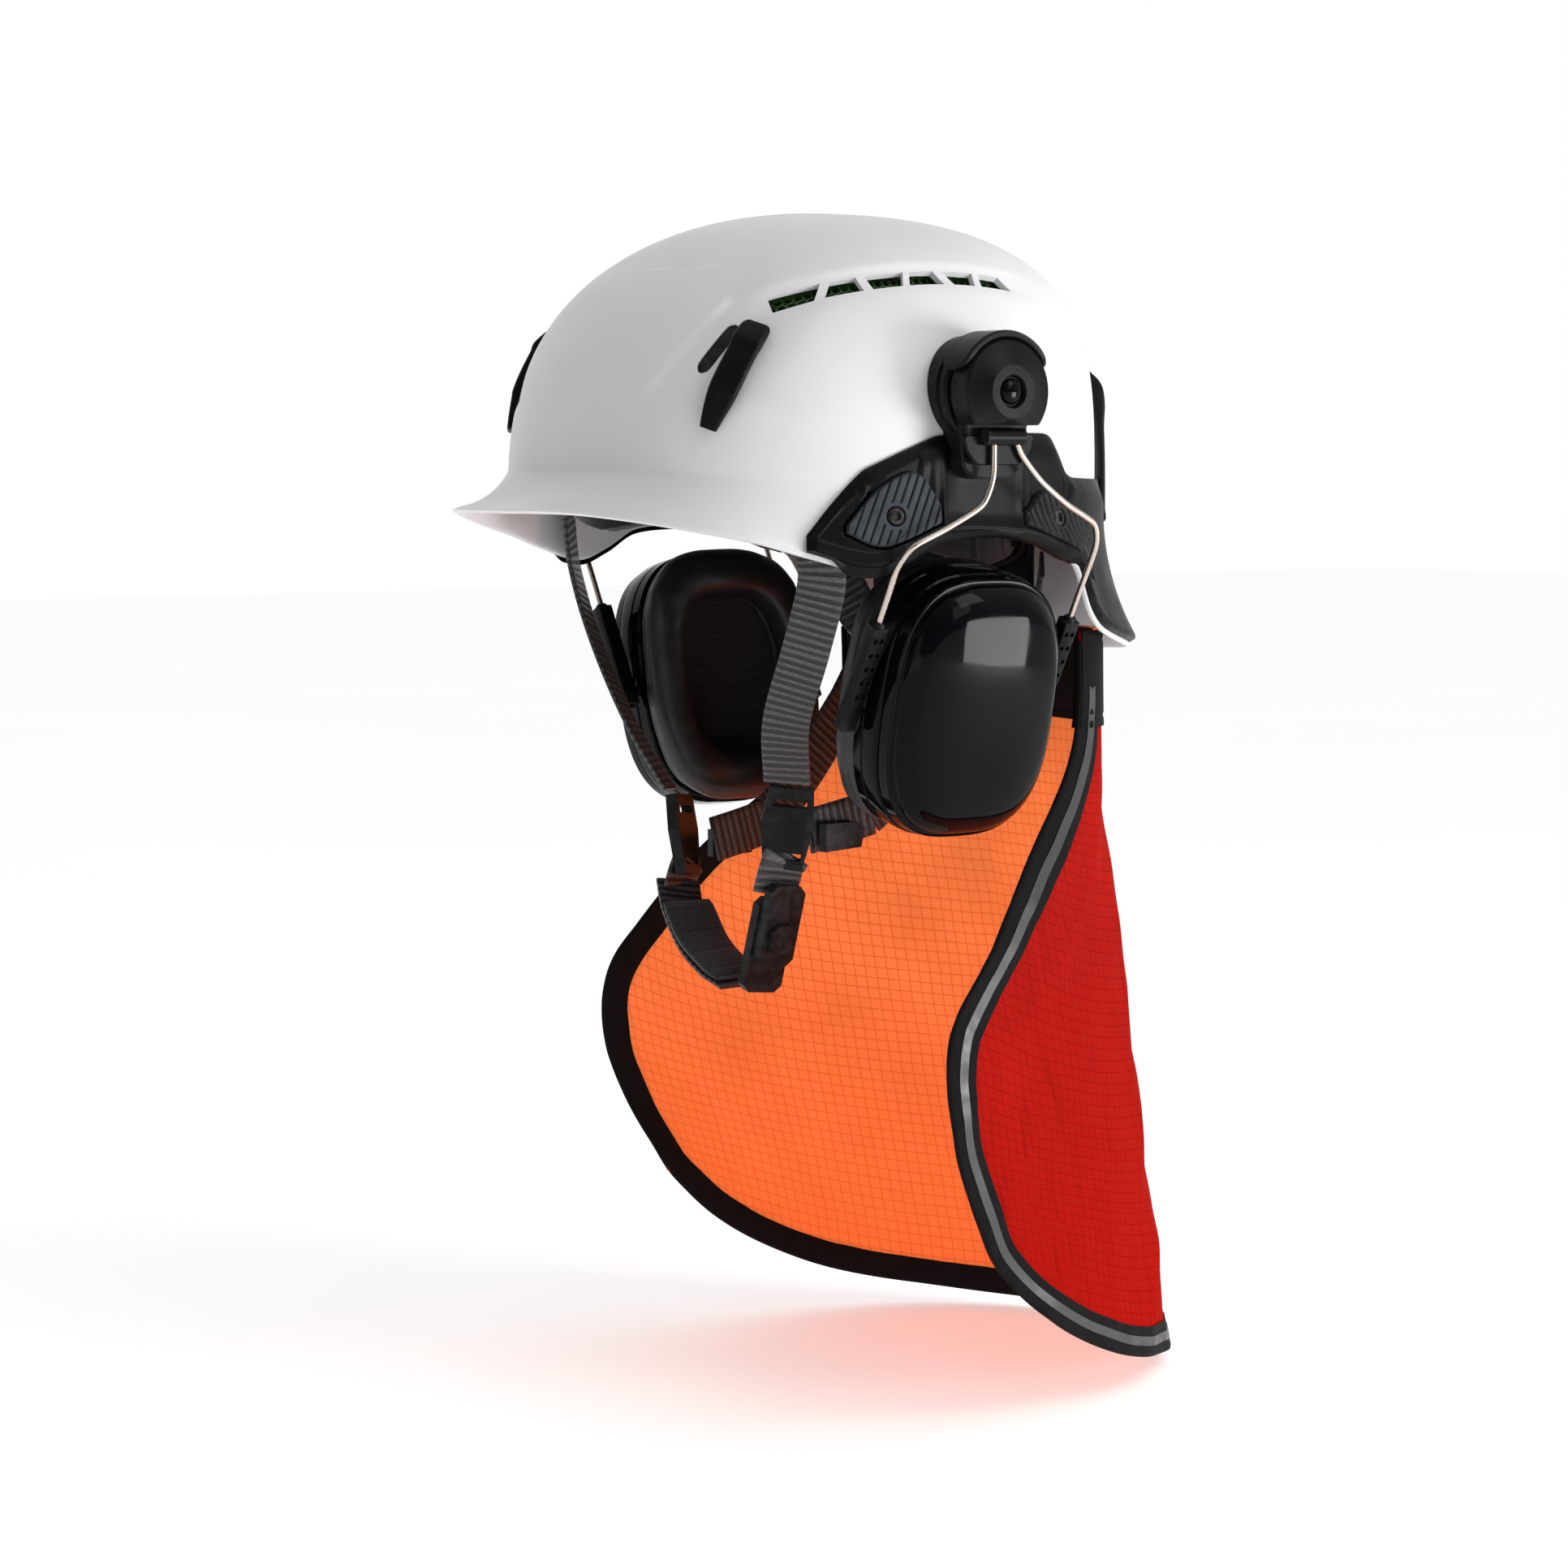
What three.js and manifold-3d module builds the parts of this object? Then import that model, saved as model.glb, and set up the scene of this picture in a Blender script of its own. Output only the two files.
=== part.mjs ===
// Forestry helmet with ear defenders, chin strap and neck cape.
// Millimetres, +Z up, the wearer looks along -Y and the wearer's left is +X.
// Origin: centre of the head opening, level with the front brim.
import * as THREE from 'three';
import { mergeVertices } from 'three/addons/utils/BufferGeometryUtils.js';
import Module from 'manifold-3d';

const wasm = await Module();
wasm.setup();

// ---- Driving dimensions ----
const domeHalfWidth = 110;
const domeHalfLength = 122.5;
const domeHeight = 121.5;
const planExponent = 2.2;
const shellThickness = 2.8;
const linerThickness = 18;
const gap = 0.4;                 // clearance between neighbouring pieces
const foreheadStep = 16;         // height of the crease where the front brim starts

const hubCentre = new THREE.Vector3(0, 6, 47);
const hubBackX = 119;
const hubCapDepth = 14;
const hubCapRadius = 20.5;
const hubFlat = 13;              // distance from the hub axis down to its cut-off bottom
const yokeX = 126.5;
const yokeZ = 29.5;

const muffCentre = new THREE.Vector3(88, 13, -76);
const muffTilt = 12;             // the cups lean in towards the jaw
const muffHalfWidth = 42;
const muffHalfHeight = 54.5;
const railSpread = 48;           // from the cup's middle to each rail
const railLean = 28.7;           // rails lean in this far from upright
const railLength = 47;
const wireRadius = 1.2;

const strapWidth = 19;
const strapThickness = 1.8;
const capeThickness = 2;

// ---- Finishes ----
const finishes = {
  shell: { color: 0xdcdde0, roughness: 0.42, metalness: 0 },
  frame: { color: 0x17181a, roughness: 0.62, metalness: 0 },
  clip: { color: 0x1b1c1e, roughness: 0.5, metalness: 0 },
  padGrey: { color: 0x46505a, roughness: 0.7, metalness: 0 },
  padDark: { color: 0x222427, roughness: 0.75, metalness: 0 },
  foam: { color: 0x2c2c2e, roughness: 0.95, metalness: 0 },
  core: { color: 0x3d7a2c, roughness: 0.5, metalness: 0 },
  steel: { color: 0xb9ada0, roughness: 0.28, metalness: 1 },
  darkSteel: { color: 0x2b2b2d, roughness: 0.35, metalness: 1 },
  gloss: { color: 0x050608, roughness: 0.08, metalness: 0 },
  cushion: { color: 0x141416, roughness: 0.55, metalness: 0 },
  webbing: { color: 0x26272a, roughness: 0.7, metalness: 0 },
  cape: { color: 0xff5316, roughness: 0.75, metalness: 0 },
};

const helmet = new THREE.Group();

function addPart(name, geometry, finish, parent = helmet) {
  geometry.computeVertexNormals();
  const material = new THREE.MeshStandardMaterial(finish);
  const mesh = new THREE.Mesh(geometry, material);
  mesh.name = name;
  parent.add(mesh);
  return mesh;
}

// ---- General geometry ----
const radians = THREE.MathUtils.degToRad;
const { smoothstep, lerp } = THREE.MathUtils;

// A smooth line through [input, value] stops, as a function of the input.
function smoothLine(stops) {
  const slope = (i) => {
    const before = stops[Math.max(i - 1, 0)];
    const after = stops[Math.min(i + 1, stops.length - 1)];
    return (after[1] - before[1]) / (after[0] - before[0]);
  };
  return (input) => {
    const x = Math.min(Math.max(input, stops[0][0]), stops.at(-1)[0]);
    let i = 0;
    while (i < stops.length - 2 && x > stops[i + 1][0]) i += 1;
    const span = stops[i + 1][0] - stops[i][0];
    const t = (x - stops[i][0]) / span;
    const start = (1 + 2 * t) * (1 - t) ** 2 * stops[i][1] + t * (1 - t) ** 2 * span * slope(i);
    const end = t * t * (3 - 2 * t) * stops[i + 1][1] + t * t * (t - 1) * span * slope(i + 1);
    return start + end;
  };
}

function range(from, to, steps) {
  return Array.from({ length: steps + 1 }, (_, i) => lerp(from, to, i / steps));
}

function signedVolume(points, index) {
  let volume = 0;
  for (let i = 0; i < index.length; i += 3) {
    const [a, b, c] = [points[index[i]], points[index[i + 1]], points[index[i + 2]]];
    volume += a.dot(b.clone().cross(c)) / 6;
  }
  return volume;
}

function solidGeometry(points, index) {
  if (signedVolume(points, index) < 0) index.reverse();
  const geometry = new THREE.BufferGeometry();
  geometry.setAttribute('position', new THREE.Float32BufferAttribute(points.flatMap((p) => p.toArray()), 3));
  geometry.setIndex(index);
  return geometry;
}

// A solid through a row of rings; a closed row joins its last ring to its first.
function ringSolid(rings, closed = false) {
  const count = rings[0].length;
  const points = rings.flat();
  const index = [];
  const joins = closed ? rings.length : rings.length - 1;
  for (let i = 0; i < joins; i += 1) {
    const next = (i + 1) % rings.length;
    for (let j = 0; j < count; j += 1) {
      const k = (j + 1) % count;
      const [a, b, c, d] = [i * count + j, i * count + k, next * count + k, next * count + j];
      index.push(a, b, c, a, c, d);
    }
  }
  if (!closed) {
    const middle = (ring) => ring.reduce((sum, p) => sum.add(p), new THREE.Vector3()).divideScalar(count);
    const last = (rings.length - 1) * count;
    points.push(middle(rings[0]), middle(rings.at(-1)));
    for (let j = 0; j < count; j += 1) {
      const k = (j + 1) % count;
      index.push(points.length - 2, k, j, points.length - 1, last + j, last + k);
    }
  }
  return solidGeometry(points, index);
}

// A solid between two matching grids of points, walled in along all four edges.
function slabSolid(front, back) {
  const rows = front.length;
  const columns = front[0].length;
  const points = [...front.flat(), ...back.flat()];
  const offset = rows * columns;
  const index = [];
  const quad = (a, b, c, d) => index.push(a, b, c, a, c, d);
  for (let i = 0; i < rows - 1; i += 1) {
    for (let j = 0; j < columns - 1; j += 1) {
      const a = i * columns + j;
      quad(a, a + 1, a + columns + 1, a + columns);
      quad(offset + a + columns, offset + a + columns + 1, offset + a + 1, offset + a);
    }
  }
  const border = [];
  for (let j = 0; j < columns - 1; j += 1) border.push(j);
  for (let i = 0; i < rows - 1; i += 1) border.push(i * columns + columns - 1);
  for (let j = columns - 1; j > 0; j -= 1) border.push((rows - 1) * columns + j);
  for (let i = rows - 1; i > 0; i -= 1) border.push(i * columns);
  border.forEach((a, n) => {
    const b = border[(n + 1) % border.length];
    quad(a, a + offset, b + offset, b);
  });
  return solidGeometry(points, index);
}

function toSolid(geometry) {
  const plain = geometry.clone();
  plain.deleteAttribute('normal');
  plain.deleteAttribute('uv');
  const merged = mergeVertices(plain, 1e-4);
  return new wasm.Manifold(new wasm.Mesh({
    numProp: 3,
    vertProperties: new Float32Array(merged.attributes.position.array),
    triVerts: new Uint32Array(merged.index.array),
  }));
}

function toGeometry(solid) {
  const mesh = solid.getMesh();
  const geometry = new THREE.BufferGeometry();
  geometry.setAttribute('position', new THREE.BufferAttribute(new Float32Array(mesh.vertProperties), 3));
  geometry.setIndex(Array.from(mesh.triVerts));
  return geometry;
}

function cut(geometry, ...cutters) {
  return toGeometry(cutters.reduce((solid, cutter) => solid.subtract(toSolid(cutter)), toSolid(geometry)));
}

function join(...pieces) {
  return toGeometry(pieces.map(toSolid).reduce((sum, piece) => sum.add(piece)));
}

function box(width, depth, height, centre) {
  return new THREE.BoxGeometry(width, depth, height).translate(...centre.toArray());
}

// A cylinder lying along X or Y between two positions on that axis.
function roundBar(axis, radius, from, to, centre, sides = 20) {
  const bar = new THREE.CylinderGeometry(radius, radius, Math.abs(to - from), sides);
  const middle = (from + to) / 2;
  if (axis === 'x') return bar.rotateZ(Math.PI / 2).translate(middle, centre.y, centre.z);
  return bar.translate(centre.x, middle, centre.z);
}

// A round rod along a route of points.
function rod(route, radius, steps, tension = 0.5) {
  const path = new THREE.CatmullRomCurve3(route, false, 'catmullrom', tension);
  const section = new THREE.Shape().absarc(0, 0, radius, 0, 2 * Math.PI);
  return new THREE.ExtrudeGeometry(section, { extrudePath: path, steps, curveSegments: 3 });
}

// A flat band along a route; each stop is its centre and the direction its width runs.
function band(stops, width, thickness) {
  const rings = stops.map(([centre, across], i) => {
    const before = stops[Math.max(i - 1, 0)][0];
    const after = stops[Math.min(i + 1, stops.length - 1)][0];
    const along = after.clone().sub(before).normalize();
    const side = across.clone().addScaledVector(along, -across.dot(along)).normalize();
    const face = new THREE.Vector3().crossVectors(along, side);
    const corner = (s, f) => centre.clone()
      .addScaledVector(side, s * width / 2)
      .addScaledVector(face, f * thickness / 2);
    return [corner(-1, -1), corner(1, -1), corner(1, 1), corner(-1, 1)];
  });
  return ringSolid(rings);
}

// ---- Shell surface ----
// heading: degrees round from the front, positive to the wearer's left.
// course: 0 at the crown, 1 where the dome ends, 2 at the bottom edge.
// The side edge rises over each ear and drops behind it to the nape.
const edgeHeight = smoothLine([
  [0, 2], [20, 1], [45, -9], [56, -16], [68, -22], [76, -17], [84, -9], [97, -8],
  [108, -11], [116, -17], [122, -22], [127, -41], [133, -50], [150, -57], [180, -61],
]);

function wrapHeading(heading) {
  return ((heading + 540) % 360) - 180;
}

function planRadius(heading) {
  const angle = radians(heading);
  const across = Math.abs(Math.sin(angle) / domeHalfWidth) ** planExponent;
  const along = Math.abs(Math.cos(angle) / domeHalfLength) ** planExponent;
  return (across + along) ** (-1 / planExponent);
}

function profilePoint(heading, course) {
  const forward = Math.cos(radians(heading));
  const rearward = (1 - forward) / 2;
  const roundness = 2 + 0.45 * rearward;
  const boxiness = 2.6 + 1.6 * rearward;
  const baseHeight = foreheadStep * smoothstep((forward + 0.1) / 1.1, 0, 1);
  const baseAngle = Math.acos((baseHeight / domeHeight) ** (boxiness / 2));
  const angle = Math.min(course, 1) * baseAngle;
  const radius = planRadius(heading) * Math.sin(angle) ** (2 / roundness);
  if (course <= 1) return [radius, domeHeight * Math.max(Math.cos(angle), 0) ** (2 / boxiness)];

  const drop = Math.min(course - 1, 1);
  const flare = 2 + (forward > 0 ? 29 * forward ** 4 : 22 * Math.abs(forward) ** 3);
  const frontShare = smoothstep((forward + 0.2) / 0.8, 0, 1);
  const sweep = frontShare * (1 - Math.sqrt(1 - drop)) + (1 - frontShare) * drop ** 2;
  const edge = edgeHeight(Math.abs(wrapHeading(heading)));
  return [radius + flare * sweep, lerp(baseHeight, edge, drop)];
}

function shellPoint(heading, course, depth = 0) {
  const nudge = 1e-3;
  const above = profilePoint(heading, Math.max(course - nudge, nudge));
  const below = profilePoint(heading, Math.min(course + nudge, 2));
  const fall = new THREE.Vector2(below[0] - above[0], below[1] - above[1]).normalize();
  const [radius, height] = profilePoint(heading, course);
  const reach = radius + depth * fall.y;
  const angle = radians(heading);
  return new THREE.Vector3(reach * Math.sin(angle), -reach * Math.cos(angle), height - depth * fall.x);
}

// The course at which the shell reaches a height.
function courseAt(heading, height) {
  let [high, low] = [0.05, 2];
  for (let i = 0; i < 30; i += 1) {
    const middle = (high + low) / 2;
    if (profilePoint(heading, middle)[1] > height) high = middle;
    else low = middle;
  }
  return (high + low) / 2;
}

const headings = range(0, 350, 35);
const crownCourse = 0.03;
const shellCourses = [crownCourse, 0.17, ...range(0.32, 0.92, 5), 1, 1.25, 1.5, 1.75, 2];

function shellRing(course, depth) {
  return headings.map((heading) => shellPoint(heading, course, depth));
}

// A dome between two depths, from the crown down to a course.
function domeSolid(outerDepth, innerDepth, courses) {
  const inside = courses.map((course) => shellRing(course, innerDepth));
  const outside = courses.map((course) => shellRing(course, outerDepth)).reverse();
  return ringSolid([...inside, ...outside]);
}

// Everything inside the shell's outer face grown by a margin.
function shellFilling(margin) {
  return ringSolid(shellCourses.map((course) => shellRing(course, -margin)));
}

// A piece of the shell's surface between two courses that follow the heading.
function shellPatch({ from, to, columns, rows, upper, lower, outer, inner }) {
  const grid = (depth) => range(from, to, columns).map((heading) => (
    range(upper(heading), lower(heading), rows).map((course) => shellPoint(heading, course, depth))
  ));
  return slabSolid(grid(outer), grid(inner));
}

// Axes on the shell: x along the heading, y up the shell and z straight out.
function shellAxes(heading, course, depth) {
  const origin = shellPoint(heading, course, depth);
  const out = shellPoint(heading, course, depth - 1).sub(origin).normalize();
  const along = shellPoint(heading + 0.5, course, depth).sub(origin).normalize();
  const up = new THREE.Vector3().crossVectors(out, along).normalize();
  return new THREE.Matrix4().makeBasis(up.clone().cross(out), up, out).setPosition(origin);
}

// A straight bar laid over the shell between two [heading, course] ends.
function shellBar(start, end, width, startDepth, endDepth, thickness, steps) {
  const rings = range(0, 1, steps).map((t) => {
    const heading = lerp(start[0], end[0], t);
    const course = lerp(start[1], end[1], t);
    const depth = lerp(startDepth, endDepth, t);
    const centre = shellPoint(heading, course, depth);
    const out = shellPoint(heading, course, depth - 1).sub(centre);
    const ahead = shellPoint(heading + (end[0] - start[0]) * 0.01, course + (end[1] - start[1]) * 0.01, depth);
    const side = new THREE.Vector3().crossVectors(ahead.sub(centre), out).normalize();
    const corner = (s, o) => centre.clone().addScaledVector(side, s * width / 2).addScaledVector(out, o);
    return [corner(-1, 0), corner(1, 0), corner(1, thickness), corner(-1, thickness)];
  });
  return ringSolid(rings);
}

// ---- Shell with its vents ----
const vents = [[47.5, 58], [60.5, 69.5], [72, 81.5], [83.5, 93], [96, 103.5], [105.5, 114]];
const ventHeight = 0.034;
const ventLine = (heading) => 0.555 + 4.8e-5 * (Math.abs(wrapHeading(heading)) - 85) ** 2;

function ventCutter([from, to], side) {
  const depth = shellThickness + 2;
  const upper = ventLine;
  const lower = (heading) => ventLine(heading) + ventHeight;
  return shellPatch({ from: side * from, to: side * to, columns: 2, rows: 1, upper, lower, outer: -2, inner: depth });
}

const clipSlot = { start: [40.5, 0.69], end: [34, 0.81], width: 3 };

function clipSlotCutter(side) {
  const start = [side * clipSlot.start[0], clipSlot.start[1]];
  const end = [side * clipSlot.end[0], clipSlot.end[1]];
  return shellBar(start, end, clipSlot.width, 5, 5, 8, 2);
}

const shellOpenings = [1, -1].flatMap((side) => [
  ...vents.map((vent) => ventCutter(vent, side)),
  clipSlotCutter(side),
]);
const shellBody = domeSolid(0, shellThickness, shellCourses);
addPart('outer_shell', cut(shellBody, ...shellOpenings), finishes.shell);

// ---- Impact liner and the vent cores let into it ----
const linerTop = shellThickness + 2 * gap;
const linerBottom = linerTop + linerThickness;
const coreTop = linerTop + 1.2;
const coreDepth = 8;
const coreUpper = (heading) => ventLine(heading) - 0.045;
const coreLower = (heading) => ventLine(heading) + ventHeight + 0.045;

function corePatch(side, margin) {
  const edge = margin * 0.008;
  return shellPatch({
    from: side * (44 - margin),
    to: side * (117.5 + margin),
    columns: 9,
    rows: 1,
    upper: (heading) => coreUpper(heading) - edge,
    lower: (heading) => coreLower(heading) + edge,
    outer: coreTop - 5 * margin,
    inner: coreTop + coreDepth + margin,
  });
}

const liner = domeSolid(linerTop, linerBottom, shellCourses.filter((course) => course < 1));
addPart('impact_liner', cut(liner, corePatch(1, 0.6), corePatch(-1, 0.6)), finishes.foam);
addPart('vent_core_left', corePatch(1, 0), finishes.core);
addPart('vent_core_right', corePatch(-1, 0), finishes.core);

// The pad under the crown, with the flat face that a stand would carry.
const crownPadTop = domeHeight - linerBottom - 1.5;
const crownPadThickness = 14;
const crownPadProfile = [
  [0, crownPadTop - crownPadThickness],
  [34, crownPadTop - crownPadThickness],
  [38, crownPadTop - 8],
  [30, crownPadTop - 3],
  [0, crownPadTop],
].map(([x, y]) => new THREE.Vector2(x, y));
const crownPad = new THREE.LatheGeometry(crownPadProfile, 24).rotateX(Math.PI / 2);
addPart('crown_pad', crownPad, finishes.foam);

// ---- Headband, brow pad and nape fitting ----
const headbandHalfWidth = 81;
const headbandHalfLength = 97;
const headbandMiddle = smoothLine([[0, 8], [55, 14], [115, 14], [150, -4], [180, -12]]);
const headbandHalfHeight = smoothLine([[0, 15], [55, 11], [115, 11], [180, 15]]);

// A point of the headband: up is -1 at its lower edge and 1 at its upper edge.
function headbandPoint(heading, grow, up) {
  const angle = radians(heading);
  const turn = Math.abs(wrapHeading(heading));
  return new THREE.Vector3(
    (headbandHalfWidth + grow) * Math.sin(angle),
    -(headbandHalfLength + grow) * Math.cos(angle),
    headbandMiddle(turn) + up * headbandHalfHeight(turn),
  );
}

function headbandSlab(from, to, columns, outer, inner, bottom, top) {
  const grid = (grow) => range(from, to, columns).map((heading) => (
    [bottom, top].map((up) => headbandPoint(heading, grow, up))
  ));
  return slabSolid(grid(outer), grid(inner));
}

const headbandSections = headings.map((heading) => [
  headbandPoint(heading, 0, -1),
  headbandPoint(heading, 2, -1),
  headbandPoint(heading, 2, 1),
  headbandPoint(heading, 0, 1),
]);
addPart('headband', ringSolid(headbandSections, true), finishes.frame);
addPart('brow_pad', headbandSlab(-70, 70, 14, -0.8, -7, -1.1, 1.1), finishes.foam);
addPart('nape_cradle', headbandSlab(140, 220, 8, 5.6, 2.8, -3.3, -0.2), finishes.frame);
addPart('nape_pad', headbandSlab(150, 210, 6, -0.8, -6, -0.95, 0.95), finishes.foam);

const dialCentre = new THREE.Vector3(0, 0, -48);
const dialFront = headbandHalfLength + 6;
addPart('fit_dial', roundBar('y', 16, dialFront, dialFront + 8.5, dialCentre, 24), finishes.frame);

// ---- Lower frame round the ears and the back ----
const frameFront = 55.5;
const frameThickness = 4;
const frameInside = 0.9;
const frameTopHeight = smoothLine([
  [55, -10], [60, 3], [66, 15.6], [69, 18.8], [79, 27], [84, 30], [110, 31], [115, 29], [120, 16],
  [126, 13], [180, 12],
]);
const frameTop = (heading, lift = 0) => {
  const turn = Math.abs(wrapHeading(heading));
  return courseAt(heading, frameTopHeight(turn) + lift);
};

function framePatch(outer, inner, lift, end) {
  return shellPatch({
    from: frameFront,
    to: 360 - frameFront,
    columns: 42,
    rows: 3,
    upper: (heading) => frameTop(heading, lift),
    lower: () => end,
    outer,
    inner,
  });
}

// A pad set into the frame; its outline is given by heights over the heading.
function padPatch({ from, to, columns, top, bottom }, side, outer, inner, margin) {
  return shellPatch({
    from: side * (from - margin),
    to: side * (to + margin),
    columns,
    rows: 3,
    upper: (heading) => courseAt(heading, top(Math.abs(heading)) + margin),
    lower: (heading) => courseAt(heading, bottom(Math.abs(heading)) - margin),
    outer,
    inner,
  });
}

const frontPad = {
  from: 63,
  to: 83,
  columns: 6,
  top: smoothLine([[62, -7], [63, -5], [69.5, 9.5], [77.5, 15.5], [83, 3], [84, 1]]),
  bottom: smoothLine([[62, -8], [63, -8], [68, -12.5], [72, -12.8], [83, -4.5], [84, -4]]),
  screw: [72.8, -1.4],
};
const rearPad = {
  from: 105,
  to: 127,
  columns: 11,
  top: smoothLine([[103, -3], [105, 0], [111, 8], [127, -8], [129, -10]]),
  bottom: smoothLine([[103, -5], [105, -6], [113, -11], [121, -17], [127, -27], [129, -29]]),
  screw: [115, -3],
};
const padOuter = -5.2;
const padInner = -3.1;
const padPocket = -1.8;
const pocketMargin = 1.2;

const padPockets = [1, -1].flatMap((side) => (
  [frontPad, rearPad].map((pad) => padPatch(pad, side, padOuter - 2, padPocket, pocketMargin))
));
addPart('lower_frame', cut(framePatch(-frameThickness, -frameInside, 0, 1.98), ...padPockets), finishes.frame);

const screwRadius = 3.8;

function screwPlug(pad, side, radius, from, to) {
  const [heading, height] = pad.screw;
  const axes = shellAxes(side * heading, courseAt(heading, height), 0);
  const plug = new THREE.CylinderGeometry(radius, radius, to - from, 12).rotateX(Math.PI / 2);
  return plug.translate(0, 0, (from + to) / 2).applyMatrix4(axes);
}

function addPad(name, pad, side, finish) {
  const suffix = side > 0 ? 'left' : 'right';
  const body = padPatch(pad, side, padOuter, padInner, 0);
  addPart(`${name}_pad_${suffix}`, cut(body, screwPlug(pad, side, screwRadius + gap, 0, 9)), finish);
  const screw = screwPlug(pad, side, screwRadius, 3, 5.3);
  const socket = screwPlug(pad, side, 1.6, 3.8, 6);
  addPart(`${name}_pad_screw_${suffix}`, cut(screw, socket), finishes.darkSteel);
}

for (const side of [1, -1]) {
  addPad('front', frontPad, side, finishes.padGrey);
  addPad('rear', rearPad, side, finishes.padDark);
}

// ---- Headlamp clips: held at the top, sprung at the bottom ----
const frontClip = { top: [45.5, 0.7], tip: [37.3, 0.93], width: 11, topGap: 0.9, tipGap: 1.6, thickness: 3.6 };
const rearClip = { top: [159, 0.865], tip: [160, 1.1], width: 11, topGap: 1.6, tipGap: 7.6, thickness: 3.4 };

function addClip(name, clip, side) {
  const start = [side * clip.top[0], clip.top[1]];
  const end = [side * clip.tip[0], clip.tip[1]];
  const bar = shellBar(start, end, clip.width, -clip.topGap, -clip.tipGap, clip.thickness, 6);
  addPart(`${name}_lamp_clip_${side > 0 ? 'left' : 'right'}`, bar, finishes.clip);
}

for (const side of [1, -1]) {
  addClip('front', frontClip, side);
  addClip('rear', rearClip, side);
}

// ---- Ear defenders ----
const toX = new THREE.Matrix4().makeBasis(
  new THREE.Vector3(0, 1, 0),
  new THREE.Vector3(0, 0, 1),
  new THREE.Vector3(1, 0, 0),
);

function hubBracket() {
  const plate = roundBar('x', 22, 100, hubBackX, hubCentre, 28);
  const neck = box(hubBackX - 100, 28, 26, new THREE.Vector3((hubBackX + 100) / 2, hubCentre.y, 28));
  const rim = toGeometry(toSolid(roundBar('x', 23.4, 112, 130, hubCentre, 28))
    .subtract(toSolid(roundBar('x', hubCapRadius + 0.6, 105, 140, hubCentre, 28)))
    .subtract(toSolid(box(60, 60, 40, hubCentre.clone().add(new THREE.Vector3(120, 0, -12))))));
  const frameSpace = framePatch(-frameThickness - gap, 2, 0.8, 1.9);
  return cut(join(plate, neck, rim), shellFilling(gap), frameSpace);
}

function hubCap() {
  const bevel = 2.5;
  const reach = hubCapRadius - bevel;
  const flat = hubFlat - bevel;
  const start = Math.asin(-flat / reach);
  const outline = new THREE.Shape().absarc(0, 0, reach, start, Math.PI - start);
  outline.closePath();
  outline.holes.push(new THREE.Path().absarc(0, 0, 4.4 + bevel, 0, 2 * Math.PI, true));
  const cap = new THREE.ExtrudeGeometry(outline, {
    depth: hubCapDepth - 2 * bevel,
    bevelThickness: bevel,
    bevelSize: bevel,
    bevelSegments: 1,
    curveSegments: 14,
  });
  return cap.translate(0, 0, bevel).applyMatrix4(toX).translate(hubBackX + gap, hubCentre.y, hubCentre.z);
}

function hubPin() {
  const [start, end] = [hubBackX + gap, hubBackX + hubCapDepth + 2 * gap];
  const shaft = roundBar('x', 3.8, start, end + 1, hubCentre, 16);
  const head = roundBar('x', 5.6, end, end + 2, hubCentre, 16);
  return join(shaft, head);
}

// The rails' own axes: the slide runs down and in towards the jaw.
const railDown = new THREE.Vector3(-Math.sin(radians(railLean)), 0, -Math.cos(radians(railLean)));
const railTop = new THREE.Vector3(101, 0, -44);

function railPoint(distance, end) {
  return railTop.clone().addScaledVector(railDown, distance).setY(muffCentre.y + end * railSpread);
}

function wireArm() {
  const yoke = roundBar('y', 3.8, hubCentre.y - 9, hubCentre.y + 10, new THREE.Vector3(yokeX, 0, yokeZ), 12);
  const frontWire = rod([
    new THREE.Vector3(yokeX, 2, yokeZ),
    new THREE.Vector3(yokeX, 1.5, 14),
    new THREE.Vector3(125.5, -3, 3),
    new THREE.Vector3(122.5, -18, -6),
    new THREE.Vector3(119.6, -32, -13),
    railPoint(-26, -1),
    railPoint(-14, -1),
    railPoint(10, -1),
    railPoint(34, -1),
  ], wireRadius, 24, 0.35);
  const rearWire = rod([
    new THREE.Vector3(yokeX, 12, yokeZ),
    new THREE.Vector3(yokeX, 16, 22),
    new THREE.Vector3(126, 26, 12),
    new THREE.Vector3(124.5, 40, 3),
    new THREE.Vector3(121, 57, -5),
    railPoint(-34, 1),
    railPoint(-14, 1),
    railPoint(10, 1),
    railPoint(34, 1),
  ], wireRadius, 26, 0.35);
  return join(yoke, frontWire, rearWire);
}

const pivotDistance = 40;

function railBar(end, width, thickness, from, to) {
  const across = new THREE.Vector3(0, 1, 0);
  return band([[railPoint(from, end), across], [railPoint(to, end), across]], width, thickness);
}

// A hollow rail that slides on the wire, with the stub that the cup tilts on.
function rail(end) {
  const bar = railBar(end, 7, 6.4, 0, railLength);
  const channel = railBar(end, 3.4, 3.4, -2, railLength + 2);
  const pivot = railPoint(pivotDistance, end);
  const inside = muffCentre.y + end * (muffHalfWidth - 1);
  const stub = roundBar('y', 2.2, pivot.y - end * 2.4, inside, pivot, 10);
  return join(cut(bar, channel), stub);
}

// Cup outline in the plane of the ear, scaled about its middle.
const cupSides = 20;

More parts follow.
